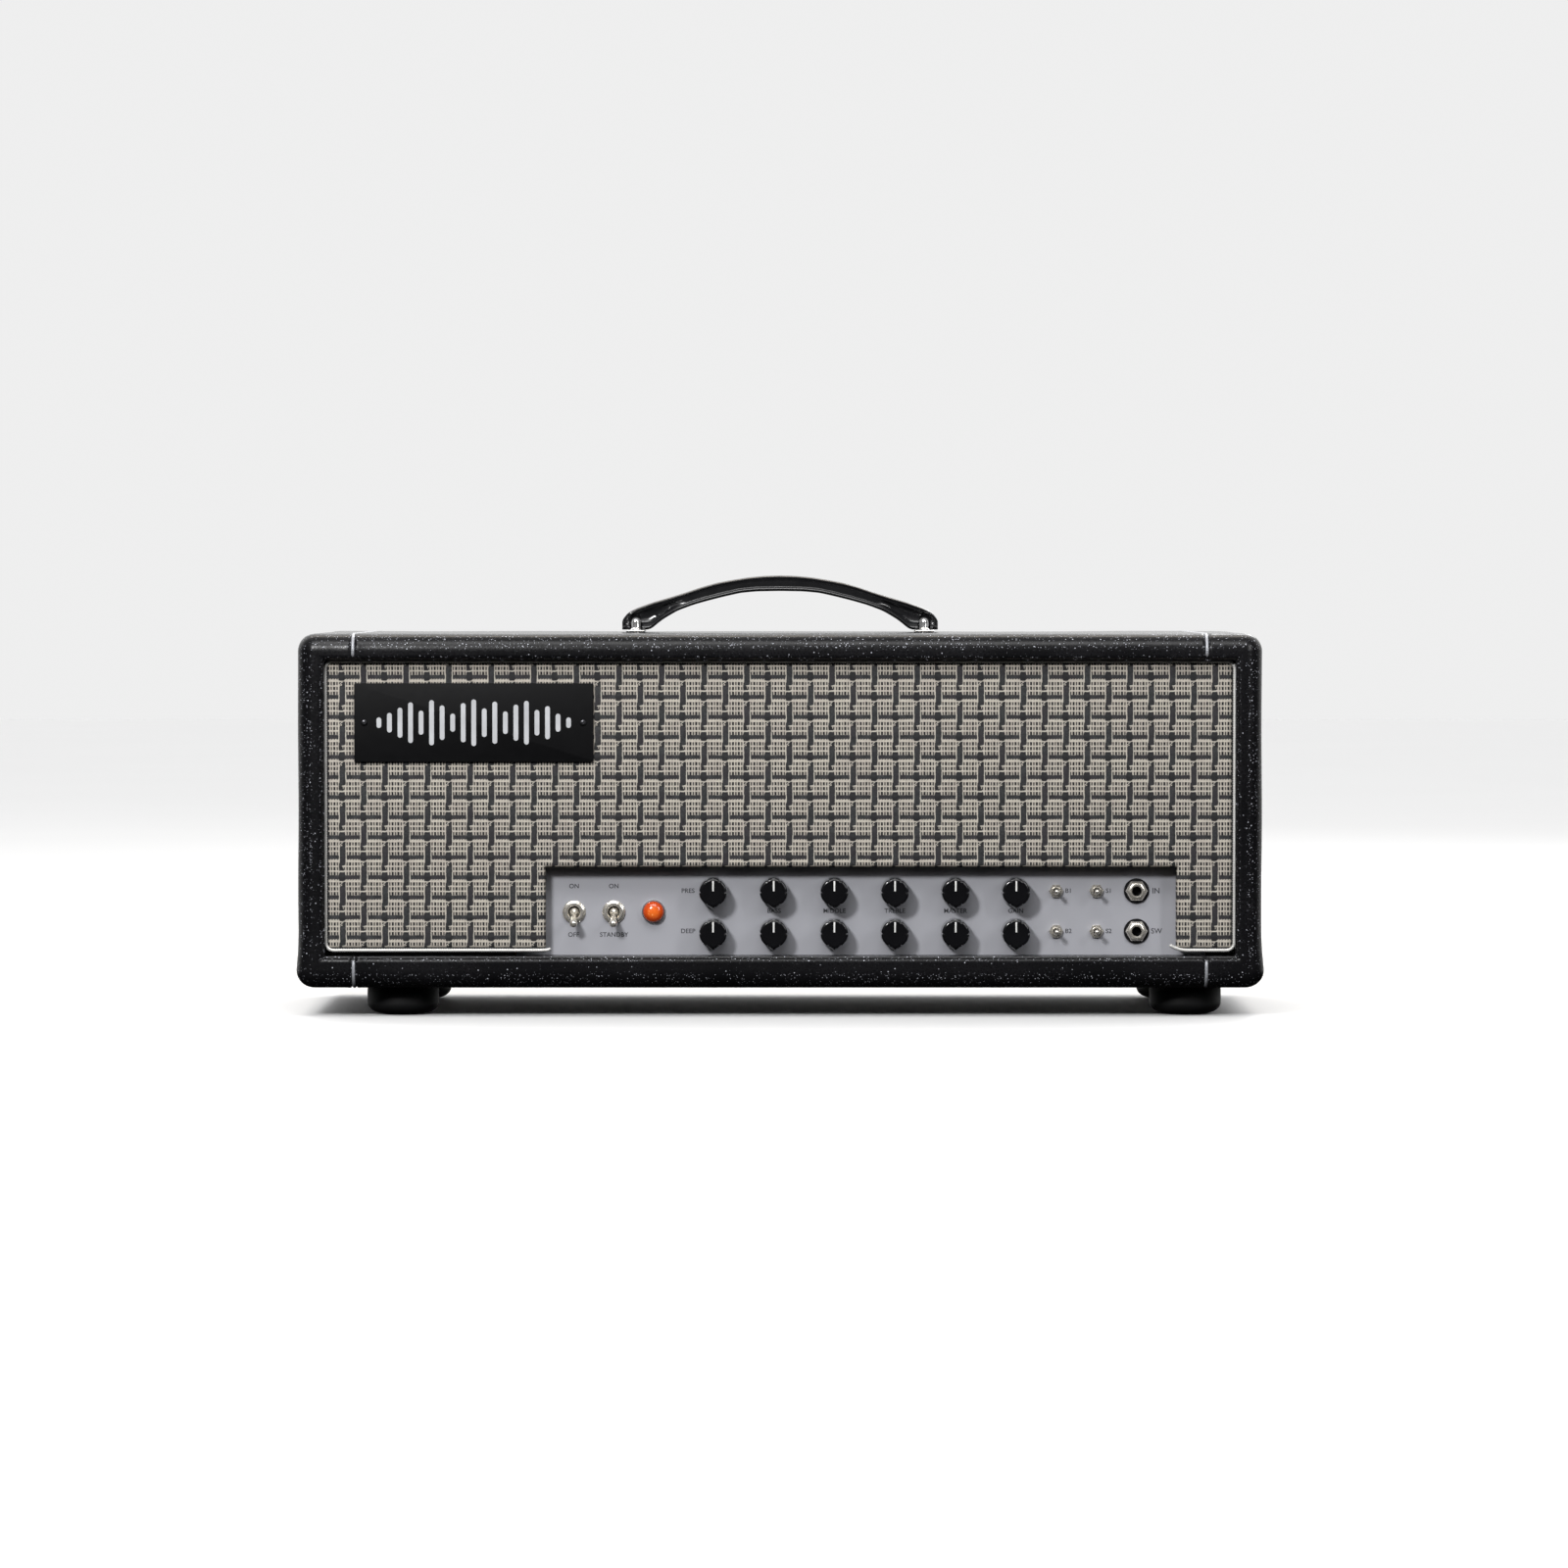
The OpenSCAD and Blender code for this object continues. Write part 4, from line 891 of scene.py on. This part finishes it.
def knob(node, x, z):
    """A pointer knob with its white line and its shaft."""
    y = PANEL_Y - 0.6
    h = y - box_mm(node)[0].y
    outline = knob_outline(KNOB_R)
    m = Mesh()
    place = front(x, z, y)
    rings, tops = [], [(0.0, 0.985), (0.3, 1.0), (2.0, 0.995), (h * 0.55, 0.972), (h - 1.5, 0.95)]
    tops += [(h - 1.5 + 1.5 * math.sin(a), 0.95 - 0.14 * (1 - math.cos(a)))
             for a in np.radians((20, 40, 60, 80, 90))]
    for up, k in tops:
        ring = []
        for px, pz in outline:
            rad = math.hypot(px, pz)
            soft = smooth((up - (h - 3.2)) / 2.4) * max(0.0, rad - KNOB_R) * 0.75
            f = k * (rad - soft) / rad
            ring.append(place(px * f, pz * f, up))
        rings.append(ring)
    for f, drop in ((0.70, 0.05), (0.45, 0.10), (0.2, 0.13), (0.02, 0.14)):
        rings.append([place(px * f, pz * f, h - drop) for px, pz in knob_outline(9.4)])
    m.grid(rings, loop_v=True)
    hollow = ((0.985, 0.0), (0.68, 0.0), (0.66, 3.0), (0.02, 3.0))
    m.grid([[place(px * f, pz * f, d) for px, pz in outline] for f, d in hollow], loop_v=True)
    # The white line runs from near the middle, over the shoulder and a little way down the side.
    line = ((0.9, h - 0.11), (2.6, h - 0.09), (5.0, h - 0.04), (7.6, h + 0.02), (8.25, h - 0.22),
            (8.85, h - 0.7), (9.2, h - 1.5), (9.38, h - 3.0))
    across = ((-0.62, -0.12), (-0.5, 0.02), (0.5, 0.02), (0.62, -0.12))
    m.grid([[place(dx, t, up + rise) for dx, rise in across] for t, up in line], mat=1)
    shaft = front(x, z, PANEL_Y + 11.0)
    m.lathe([(0.05, 0), (2.8, 0), (3.0, 0.3), (3.0, 14.5), (0.05, 14.5)], shaft, 24, mat=2)
    m.piece(node + "_cap", ["knob", "white", "pot"], "knob_black", node, [node], angle=28)


SELECTOR = "impedance_selector_knob"
for n in sorted(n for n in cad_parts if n.endswith("_knob") and n != SELECTOR):
    lo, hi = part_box(n)
    knob(n, (lo.x + hi.x) / 2 / MM, min(ROWS, key=lambda r: abs(r - (lo.z + hi.z) / 2 / MM - 1.2)))


def bat_lever(node, x, z):
    """A bat-shaped lever, tilted as at rest, with a polished round tip."""
    c, s = cos_sin(27)

    def place(a, b, h):
        return (x + a, PANEL_Y + 1 - h * c - b * s, z + b * c - h * s)

    prof = [(0.05, -3.2), (1.6, -2.8), (2.7, -1.8), (3.2, 0), (2.7, 1.7), (1.9, 2.6), (1.55, 3.6),
            (1.6, 6), (1.85, 9.5), (2.25, 13), (2.55, 14.5), *dome(2.7, 15.5, range(-8, 90, 12)),
            (0.05, 18.2)]
    m = Mesh()
    m.lathe(prof, place, 32)
    m.piece(node + "_bat", "nickel", "lever_nickel", node, [node], angle=60)


for n, p in zip(("power_switch_lever", "standby_switch_lever"), TOGGLES):
    bat_lever(n, *p)

mini_nodes = [f"mini_lever_{a}_{b}" for a in ("left", "right") for b in ("upper", "lower")]
for n, (x, z) in zip(mini_nodes, MINIS):
    m = Mesh()
    tip, pivot_y = 1.7, PANEL_Y - 0.5
    reach = pivot_y - box_mm(n)[0].y
    prof = [(0.05, -1.6), (1.2, -1.1), (1.6, 0), (1.15, 1.1), (0.95, 2.2), (1.0, 5), (1.2, 8),
            (1.55, reach - 2.6), *dome(tip, reach - tip, range(0, 90, 15)), (0.05, reach)]
    m.lathe(prof, front(x, z, pivot_y), 24)
    m.piece(n + "_bat", "nickel", "lever_nickel", n, [n], angle=60)


def nut(m, af, bore, place, h):
    """A chamfered hexagon nut, a point upwards."""
    o = hexagon(af)

    def ring(up, scale):
        scales = [scale(math.hypot(x, y)) for x, y in o]
        return [place(x * k, y * k, up) for (x, y), k in zip(o, scales)]

    rings = [ring(up, lambda r: bore / r) for up in (h, 0)]
    rings += [ring(up, lambda r: 1) for up in (0, h * 0.55)]
    rings += [ring(up, lambda r, k=k: min(1, af / 2 * k / r * 1.06))
              for k, up in ((1.02, h * 0.82), (0.93, h * 0.98), (0.86, h))]
    m.grid(rings, loop_u=True, loop_v=True)


def panel_hardware():
    """The nuts of the pots, switches and jacks, on the panel and at the back."""
    m = Mesh()
    for x in KNOB_X:
        for z in ROWS:
            nut(m, 10, 3.65, front(x, z, PANEL_Y), 2.0)
    for x, z in TOGGLES:  # round dress nuts with a stepped, knurled rim
        place = front(x, z, PANEL_Y)
        m.lathe([(6.0, 0), (7.6, 0), (7.7, 0.3), (7.7, 1.0), (7.35, 1.35), (6.9, 1.5), (6.75, 1.45),
                 (6.6, 1.9), (6.1, 2.15), (5.98, 2.1), (5.98, 0)], place, 48)
    for x, z in MINIS:
        nut(m, 8.4, 3.05, front(x, z, PANEL_Y), 2.0)
    for x in REAR_JACK_X + (SELECTOR_X,):
        nut(m, 13, 4.8, rear(x, REAR_Z, REAR_Y), 2.5)
    for x, z in JACKS:  # polished pillow nuts
        place = front(x, z, PANEL_Y - 1.0)
        rings = []
        o = hexagon(13.0, 10)
        prof = [(0.0, 1.0, 0.0), (0.5, 1.0, 0.0), (1.3, 0.985, 0.10), (2.1, 0.93, 0.35), (2.8, 0.82, 0.65),
                (3.3, 0.68, 0.9), (3.4, 0.58, 1.0), (3.2, 0.545, 1.0)]
        for up, k, rnd in prof:
            ring = []
            for a, b in o:
                rad = math.hypot(a, b)
                target = (rad * (1 - rnd) + 7.0 * rnd) * k
                ring.append(place(a / rad * target, b / rad * target, up))
            rings.append(ring)
        m.grid([[place(a / math.hypot(a, b) * 3.9, b / math.hypot(a, b) * 3.9, u) for a, b in o]
                for u in (0.0, 3.2)] + rings[::-1], loop_u=True, loop_v=True)
    m.piece("panel_nut_set", "nickel", "nickel_nuts", nodes=["panel_nuts"], angle=28)


def switches():
    """Boxes of the toggle switches behind the panel, and their bushings."""
    m = Mesh()
    for x, z in TOGGLES:
        m.box((x - 10, PANEL_Y + 3.5, z - 14), (x + 10, PANEL_Y + 25.5, z + 14), 0.8)
        place = front(x, z, PANEL_Y + 3)
        prof = [(5.0, 0), (5.95, 0), (5.95, 3.0)]
        for k in range(4):
            prof += [(5.6, 3.2 + 0.7 * k), (5.95, 3.55 + 0.7 * k)]
        prof += [(5.8, 5.9), (5.3, 6.0), (4.4, 5.85), (4.05, 5.2), (4.0, 0)]
        m.lathe(prof, place, 40, 1)
    for x, z in MINIS:
        m.box((x - 4.5, PANEL_Y + 3.5, z - 6.25), (x + 4.5, PANEL_Y + 13.5, z + 6.25), 0.5)
        place = front(x, z, PANEL_Y + 3)
        prof = [(2.4, 0), (3.0, 0), (3.0, 5.5), (2.8, 5.95), (2.3, 6.0), (2.0, 5.7), (1.95, 0)]
        m.lathe(prof, place, 28, 1)
    m.piece("switch_housings", ["pot", "nickel"], "pot_metal", nodes=["switch_bodies"], angle=30)


def lamp():
    """The pilot lamp: its chrome ring and its orange dome."""
    m = Mesh()
    place = front(*LAMP, PANEL_Y)
    m.lathe([(6.1, -18), (6.15, 0), (7.7, 0), (8.0, 0.25), (8.0, 0.9), (7.75, 1.3), (7.3, 1.4), (6.3, 1.35),
             (5.0, 1.3), (5.0, -17)], place, 48)
    m.lathe([(6.3, -6.5), (8.5, -6.5), (8.5, -3.5), (6.3, -3.5)], place, 24)
    m.piece("lamp_ring", "chrome", "chrome_hardware", nodes=["pilot_lamp_bezel"])
    j = Mesh()
    prof = [(0.05, 1.42), (6.9, 1.42), (7.12, 1.6), (7.14, 2.4), *dome(7.14, 2.4, range(6, 90, 6), 4.55),
            (0.05, 6.95)]
    j.lathe(prof, place, 48)
    j.piece("lamp_dome", "jewel", "lamp_jewel", nodes=["pilot_lamp_jewel"], angle=60)


def jack_shape(m, place, out):
    """Body behind the wall, and the threaded sleeve."""
    square = [(-8, -8), (8, -8), (8, 8), (-8, 8)]
    ends = ((-26.0, 0.96), (-25.4, 1.0), (-0.6, 1.0), (0.0, 0.96))
    m.grid([[place(x * k, y * k, up) for x, y in square] for up, k in ends], loop_v=True, cap=True)
    m.lathe([(3.25, 0.0), (4.7, 0.0), (4.75, 0.2), (4.75, out - 0.5), (4.4, out), (3.6, out),
             (3.25, out - 0.35)], place, 40, 1)


def jack_bore(m, place, out):
    """The dark lining of the bore, with its contact far inside."""
    m.lathe([(3.24, -22), (3.24, out), (3.1, out), (3.1, -22)], place, 32, 2)
    m.lathe([(0.05, -10), (3.2, -10), (3.2, -10.5), (0.05, -10.5)], place, 24, 2)


def jacks():
    """The two jacks with washers in the panel, and the four at the back."""
    mats = ["jack", "nickel", "jack"]
    m = Mesh()
    for x, z in JACKS:
        jack_shape(m, front(x, z, PANEL_Y + 3.5), 7.7)
        place = front(x, z, PANEL_Y)
        m.lathe([(4.9, 0), (8.3, 0), (8.45, 0.15), (8.45, 0.7), (8.2, 1.0), (4.9, 1.02)], place, 48)
        jack_bore(m, place, 3.6)
    m.piece("front_jack_set", mats, "jack_black", nodes=["front_jacks"], angle=30)
    m = Mesh()
    for x in REAR_JACK_X:
        place = rear(x, REAR_Z, REAR_Y - 2.0)
        jack_shape(m, place, 5.2)
        jack_bore(m, place, 4.9)
    m.piece("rear_jack_set", mats, "jack_black", nodes=["rear_jacks"], angle=30)


panel_hardware()
switches()
lamp()
jacks()


def label(text, x, z, size=4.2, y=PANEL_Y, face=-1):
    """Thin printed capitals, x at the middle, z at the middle of the letters."""
    c = bpy.data.curves.new("ink_" + text, "FONT")
    c.body = text
    c.size = size * MM
    c.align_x = c.align_y = "CENTER"
    c.extrude = 0.02 * MM
    c.offset = 0.07 * MM  # makes the strokes bolder
    c.space_character = 1.03
    o = link("ink_" + text, c)
    rot = Matrix.Rotation(math.radians(90), 4, "X")
    if face > 0:
        rot = Matrix.Rotation(math.radians(180), 4, "Z") @ rot
    o.matrix_world = Matrix.Translation(Vector((x, y + face * 0.03, z)) * MM) @ rot
    bpy.context.view_layer.update()
    me = bpy.data.meshes.new_from_object(o.evaluated_get(bpy.context.evaluated_depsgraph_get()))
    me.transform(o.matrix_world)
    bpy.data.objects.remove(o)
    return me


def labels():
    """Plain words for what each control does, on the panel and at the back."""
    made = [label("ON", x, 86.0) for x, _ in TOGGLES]
    made += [label("OFF", TOGGLES[0][0] - 0.4, 53.6), label("STANDBY", TOGGLES[1][0] + 0.1, 53.6)]
    made += [label("PRES", -61.4, 82.9), label("DEEP", -61.4, 56.0)]
    for k, word in enumerate(("BASS", "MIDDLE", "TREBLE", "MASTER", "GAIN")):
        made.append(label(word, KNOB_X[k + 1] + 0.2, 69.5))
    for (x, z), word in zip(MINIS, ("B1", "B2", "S1", "S2")):
        made.append(label(word, x + 8.3, z))
    made += [label("IN", 251.0, JACKS[0][1], 5.2), label("SW", 251.4, JACKS[1][1], 4.9)]
    back = [("SEND", -150), ("RETURN", -122), ("SPEAKER", -66), ("OHMS", SELECTOR_X), ("FUSE", 163),
            ("MAINS", 226)]
    made += [label(w, x, 88.5, 4.4, REAR_Y, 1) for w, x in back]
    for k, word in enumerate(("4", "8", "16")):
        c, s = cos_sin(60 - 60 * k)
        x, z = SELECTOR_X + DIAL_R * s, REAR_Z + DIAL_R * c
        made.append(label(word, x, z, 4.4, REAR_Y, 1))
    bm = bmesh.new()
    for me in made:
        bm.from_mesh(me)
    me = bpy.data.meshes.new("panel_labels")
    bm.to_mesh(me)
    bm.free()
    me.materials.clear()
    me.materials.append(M["ink"])
    declared("panel_labels", me)


labels()


# ---- handle and feet

# Half of the strap from the side: distance from its middle, and height over the top of the box.
STRAP_END = 107.5
HANDLE_TOP = [(0, 38.7), (10.7, 38.4), (21.5, 37.4), (32.2, 35.7), (43, 33.7), (53.7, 30.7), (64.5, 27),
              (75.2, 23.7), (86, 20.6), (91.3, 18.7), (98, 16.3), (103.4, 13.5), (106, 10.9),
              (STRAP_END, 7.6)]
HANDLE_LOW = [(0, 28), (16, 27.7), (26.9, 26.7), (37.6, 24.3), (48.4, 21.6), (59, 18.6), (69.8, 14.6),
              (75.2, 11.5), (80.6, 8.2), (86, 3.8), (88.5, 1.7), (STRAP_END, 1.7)]
POST_X, POST_Y = 98.0, 12.4


def eased(points, x, reach):
    """The broken line through the points, with its corners eased."""
    at = np.array([abs(x) + d for d in np.linspace(-reach, reach, 9)])
    px, pz = zip(*points)
    return float(np.mean(np.interp(np.abs(at), px, pz)))


def handle():
    """The moulded strap: a bar with a welt along each side, and a hood over each bracket."""
    half = np.unique(np.concatenate(
        [np.linspace(0, 84, 43), np.linspace(84, 104, 15), np.linspace(104, 107.3, 7)]))
    xs = sorted(set((-half).tolist() + half.tolist()))
    ends = [(107.42, 0.95), (STRAP_END, 0.86)]
    xs = [(-x, k) for x, k in ends[::-1]] + [(x, 1.0) for x in xs] + ends
    # The welts below and above: distance from the middle, and depth from the strap's own edge.
    up = [(0, -0.3), (5, -0.15), (9, 0), (12.4, 0.1), (13.6, 0.8), (14, 1.6), (13.7, 2.3), (13.1, 2.8)]
    down = [(13.1, 2.9), (13.1, 2.3), (13.8, 1.6), (13.7, 0.8), (12.9, 0.2), (11, 0), (7, -0.1),
            (0, -0.2)]
    rings = []
    for x, k in xs:
        ax = abs(x)
        reach = min(2.2, STRAP_END - ax)
        top, low = eased(HANDLE_TOP, x, reach), eased(HANDLE_LOW, x, reach)
        h = top - low
        f = min(1.0, h / 9.5)
        dip = 2.6 * float(smooth((ax - 64) / 14) * (1 - smooth((ax - 101) / 4)))
        w = 1.0 - 0.16 * float(smooth((ax - 101) / 6.5)) ** 2
        low_side = [(y, low + (0.3 + dz if y < 9 else dz) * f) for y, dz in up]
        top_side = [(y, top - (0.3 + dz if y < 9 else dz) * f) for y, dz in down]
        z_a, z_b = low + 3.2 * f, top - 3.3 * f
        mid_side = [(12.9 - dip * s, z_a + (z_b - z_a) * t)
                    for t, s in ((0.0, 0.0), (0.12, 0.55), (0.25, 1.0), (0.5, 1.05), (0.75, 1.0),
                                 (0.88, 0.55), (1.0, 0.0))]
        side = low_side + mid_side + top_side
        ring = side + [(-y, z) for y, z in side[::-1][1:-1]]
        mid = (top + low) / 2
        rings.append([(x, y * w * (0.5 + 0.5 * k), Z1 + mid + (z - mid) * k) for y, z in ring])
    m = Mesh()
    m.grid(rings, loop_v=True, cap=True)
    o = m.piece("handle_strap", "handle", "handle_rubber", nodes=["handle_grip"], angle=60)
    # Each hood is open underneath round the lug, and has a pocket round each post.
    c = Mesh()
    for s in (-1, 1):
        x0 = s * POST_X
        c.box((x0 - 4.2, -5, Z1 - 2), (x0 + 4.2, 5, Z1 + 11.2))
        for y in (-POST_Y, POST_Y):
            c.lathe([(0.05, -2), (4.4, -2), *dome(4.4, 9.0, range(0, 88, 12)), (0.05, 13.4)],
                    upright(x0, y * 1.06, Z1), 40)
    cut = link("cut", cleaned(mesh_mm("cut", c.v, c.f)))
    mod = o.modifiers.new("cut", "BOOLEAN")
    mod.operation, mod.object, mod.solver = "DIFFERENCE", cut, "EXACT"
    bpy.context.view_layer.update()
    done = bpy.data.meshes.new_from_object(o.evaluated_get(bpy.context.evaluated_depsgraph_get()))
    o.modifiers.clear()
    o.data = done
    bpy.data.objects.remove(cut)
    sharp(o, 45)


def brackets():
    """A chrome plate with a lug and two posts at each end of the handle, its pin and screws."""
    m = Mesh()
    f = Mesh()
    pin_z = Z1 + 6.5
    for s in (-1, 1):
        x = s * POST_X
        m.box((x - 6.5, -26, Z1 + 0.02), (x + 6.5, 26, Z1 + 1.5), 0.45)
        m.box((x - 3.35, -4.5, Z1 + 1.4), (x + 3.35, 4.5, Z1 + 7.0), 0.4)
        m.lathe([(0.05, -4.5), (3.0, -4.5), (3.35, -4.1), (3.35, 4.1), (3.0, 4.5), (0.05, 4.5)],
                lambda a, b, h, x=x: (x + a, h, pin_z + b), 32)
        for y in (-POST_Y, POST_Y):
            m.lathe([(0.05, 1.5), (4.1, 1.5), (3.95, 1.9), (3.45, 2.2), (3.3, 2.8), (3.3, 6.8),
                     *dome(3.3, 6.8, range(10, 90, 10)), (0.05, 10.1)], upright(x, y, Z1), 36)
        f.lathe([(0.05, -9), (1.3, -9), (1.5, -8.7), (1.5, 8.7), (1.3, 9), (0.05, 9)],
                lambda a, b, h, x=x: (x + a, h, pin_z + b), 24)
        for y in (-20, 20):
            place = upright(x, y, Z1)
            f.lathe([(2.0, 0.0), (3.8, 1.5), (3.75, 1.8), (3.1, 2.7), (2.0, 3.35), (0.05, 3.6)], place, 32)
            f.box((x - 0.4, y - 2.6, Z1 + 3.3), (x + 0.4, y + 2.6, Z1 + 3.62))
    for mesh, name, node in ((m, "posts", "brackets"), (f, "pins", "fasteners")):
        mesh.piece("handle_" + name, "chrome", "chrome_hardware", nodes=["handle_" + node], angle=40)


def feet():
    """Four turned rubber feet, each with a recess for its screw."""
    m = Mesh()
    h = Z0 - 0.05
    prof = [(2.7, 9.0), (6.5, 9.0), (6.5, 0.4), (6.9, 0.0), (13.3, 0.0)]
    prof += [(13.5 + 10.5 * s, 7.5 - 7.5 * c) for c, s in map(cos_sin, range(6, 91, 6))]
    prof += [(24.0, h - 3.0), (23.8, h - 2.6), (23.8, h - 2.2), (24.0, h - 1.8), (24.0, h - 0.4),
             (23.6, h), (2.7, h)]
    for x in FOOT_X:
        for y in (-FOOT_Y, FOOT_Y):
            m.lathe(prof, upright(x, y, 0), 56)
    m.piece("rubber_foot_set", "rubber", "foot_rubber", nodes=["rubber_feet"], angle=40)


handle()
brackets()
feet()


# ---- bevelled CAD shapes


def bevelled(node, mat, width, body=BODY):
    """A copy of a CAD node with its sharp edges rounded, in place of the node."""
    bm = node_copy(node)
    bmesh.ops.dissolve_limit(bm, angle_limit=math.radians(1.0), verts=bm.verts, edges=bm.edges)
    limit = math.radians(40)
    edges = [e for e in bm.edges if len(e.link_faces) == 2 and e.calc_face_angle(0.0) > limit]
    bmesh.ops.bevel(bm, geom=edges, offset=width * MM, offset_type="OFFSET", segments=2, profile=0.6,
                    affect="EDGES", clamp_overlap=True)
    for f in bm.faces:
        f.smooth = True
    sharp(copy_piece(bm, node, "_body", mat, body), 34)


bevelled("back_panel", "back", 1.2)
bevelled("mains_inlet", "jack", 0.35)
bevelled("fuse_holders", "jack", 0.4)
bevelled(SELECTOR, "knob", 0.5, SELECTOR)

# CAD nodes whose shape is right, with their finish.
keep = {
    "panel_cleats": "baffle", "grille_baffle": "baffle",
    "cabinet_screws": "zinc", "vent_grille": "vent", "chassis": "alu", "control_panel": "panel",
    "chassis_bolts": "zinc", "circuit_board": "board", "board_components": "parts",
    "board_standoffs": "zinc", "power_transformer": "iron", "output_transformer": "iron",
    "filter_choke": "iron", "valve_sockets": "ceramic", "filter_capacitors": "sleeve",
    "potentiometer_bodies": "pot",
}
for node, mat in keep.items():
    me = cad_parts[node].data
    me.materials.clear()
    me.materials.append(M[mat])


# ---- valves


def valves(node, name, places, rb, hb, rg, hg):
    """Glass bulbs with a grey anode inside, on dark bases: radius and height of base and glass."""
    m = Mesh()
    for x, y in places:
        place = upright(x, y, box_mm(node)[0].z)
        can = [(0.05, 0), (rb - 0.6, 0), (rb, 0.8), (rb, hb - 0.8), (rb - 0.8, hb), (0.05, hb)]
        m.lathe(can, place, 36)
        top = dome(rg, hb + hg - rg * 0.7, range(0, 84, 8), rg * 0.66)
        m.lathe([(rg - 1.4, hb + 0.1), (rg - 0.3, hb + 2), *top, (1.2, hb + hg - 0.6),
                 (0.05, hb + hg - 0.1)], place, 36, 1)
        inside = ((0.62, hb + 3, hb + hg * 0.72, 20), (0.8, hb + hg * 0.75, hb + hg * 0.76, 24))
        for mat, (k, a, b, n) in enumerate(inside, 2):
            m.lathe([(0.05, a), (rg * k, a), (rg * k, b), (0.05, b)], place, n, mat)
    m.piece(name, ["base", "glass", "anode", "ceramic"], "valve_glass", nodes=[node], angle=30)


valves("power_valves", "power_valve_set", [(82, 30), (136, 30)], 17.3, 14, 15.4, 68)
valves("preamp_valves", "preamp_valve_set", [(70 + 45 * i, -52) for i in range(5)], 10.0, 3, 10.5, 46)


# ---- stage

WIDTH_AT_FRONT = 1039.52 * MM  # what the picture spans at the front rim
CAM_Z, CAM_DIST = 0.285, 4.0
cam = bpy.data.cameras.new("view_camera")
cam.sensor_width = 36.0
cam.lens = 36.0 * CAM_DIST / WIDTH_AT_FRONT
camera = link("view_camera", cam)
aim = Vector((0.0027, -HD * MM, 0.1551))
camera.location = Vector((aim.x, -HD * MM - CAM_DIST, CAM_Z))
camera.rotation_euler = (aim - camera.location).to_track_quat("-Z", "Y").to_euler()
bpy.context.scene.camera = camera


def stage_plane():
    """The pale floor."""
    m = bpy.data.meshes.new("floor")
    s = 9.0
    m.from_pydata([(-s, -s, 0), (s, -s, 0), (s, s, 0), (-s, s, 0)], [], [(0, 1, 2, 3)])
    f = link("floor", m)
    mat = Mat("floor_pale", (0.86, 0.86, 0.86), 0.7)
    mat.vary(mat.noise(3.0, 2.0), 0.01)
    m.materials.append(mat.m)
    f.location.z = -0.0004
    f.visible_diffuse = f.visible_glossy = False  # a pale floor that casts no light back up


def area_light(name, place, target, size, power, size_y=None, color=(1, 1, 1)):
    """A rectangular lamp of that size and power, turned towards its target."""
    light = bpy.data.lights.new(name, "AREA")
    light.shape = "RECTANGLE"
    light.size, light.size_y = size, size_y or size
    light.energy = power
    light.color = color
    o = link(name, light)
    o.location = place
    o.rotation_euler = (Vector(target) - Vector(place)).to_track_quat("-Z", "Y").to_euler()


def studio():
    """A pale room: bright behind and above the object, and dim on the camera's side."""
    world = bpy.data.worlds.new("studio")
    bpy.context.scene.world = world
    world.use_nodes = True
    t = world.node_tree
    bg = t.nodes["Background"]
    n = t.nodes.new("ShaderNodeTexCoord")
    sep = t.nodes.new("ShaderNodeSeparateXYZ")
    t.links.new(n.outputs["Generated"], sep.inputs[0])
    y, z = Sock(t, sep.outputs[1]), Sock(t, sep.outputs[2])
    back = y.step(-0.1, 0.5) * (z.most(0.0) * 1.6 + 0.86) * z.step(-0.2, -0.05)
    glow = back.most(z.step(0.45, 1.0) * 0.36) + z.step(0.03, 0.4) * 0.10 + 0.012
    seen = Sock(t, t.nodes.new("ShaderNodeLightPath").outputs["Is Camera Ray"])
    glow = glow * seen.flip() + seen * 0.86
    t.links.new(glow.s, bg.inputs[1])
    bg.inputs[0].default_value = (1.0, 1.0, 1.0, 1.0)


stage_plane()
studio()
area_light("key_light", (-0.80, -1.95, 1.20), (0, -0.12, 0.12), 0.34, 38)
area_light("front_box", (-0.1, -1.15, 1.70), (0, -0.1, 0.15), 1.6, 18, 0.6)
area_light("side_fill", (1.25, -1.35, 0.90), (0, -0.1, 0.12), 0.22, 8, 0.9)
area_light("back_strip", (0.0, 0.60, 1.70), (0, 0.0, 0.2), 1.8, 7, 0.2, (1.0, 0.84, 0.66))
area_light("back_light", (0.9, 1.9, 1.5), (0, 0.1, 0.13), 0.8, 14)
bpy.context.scene.view_settings.view_transform = "Standard"
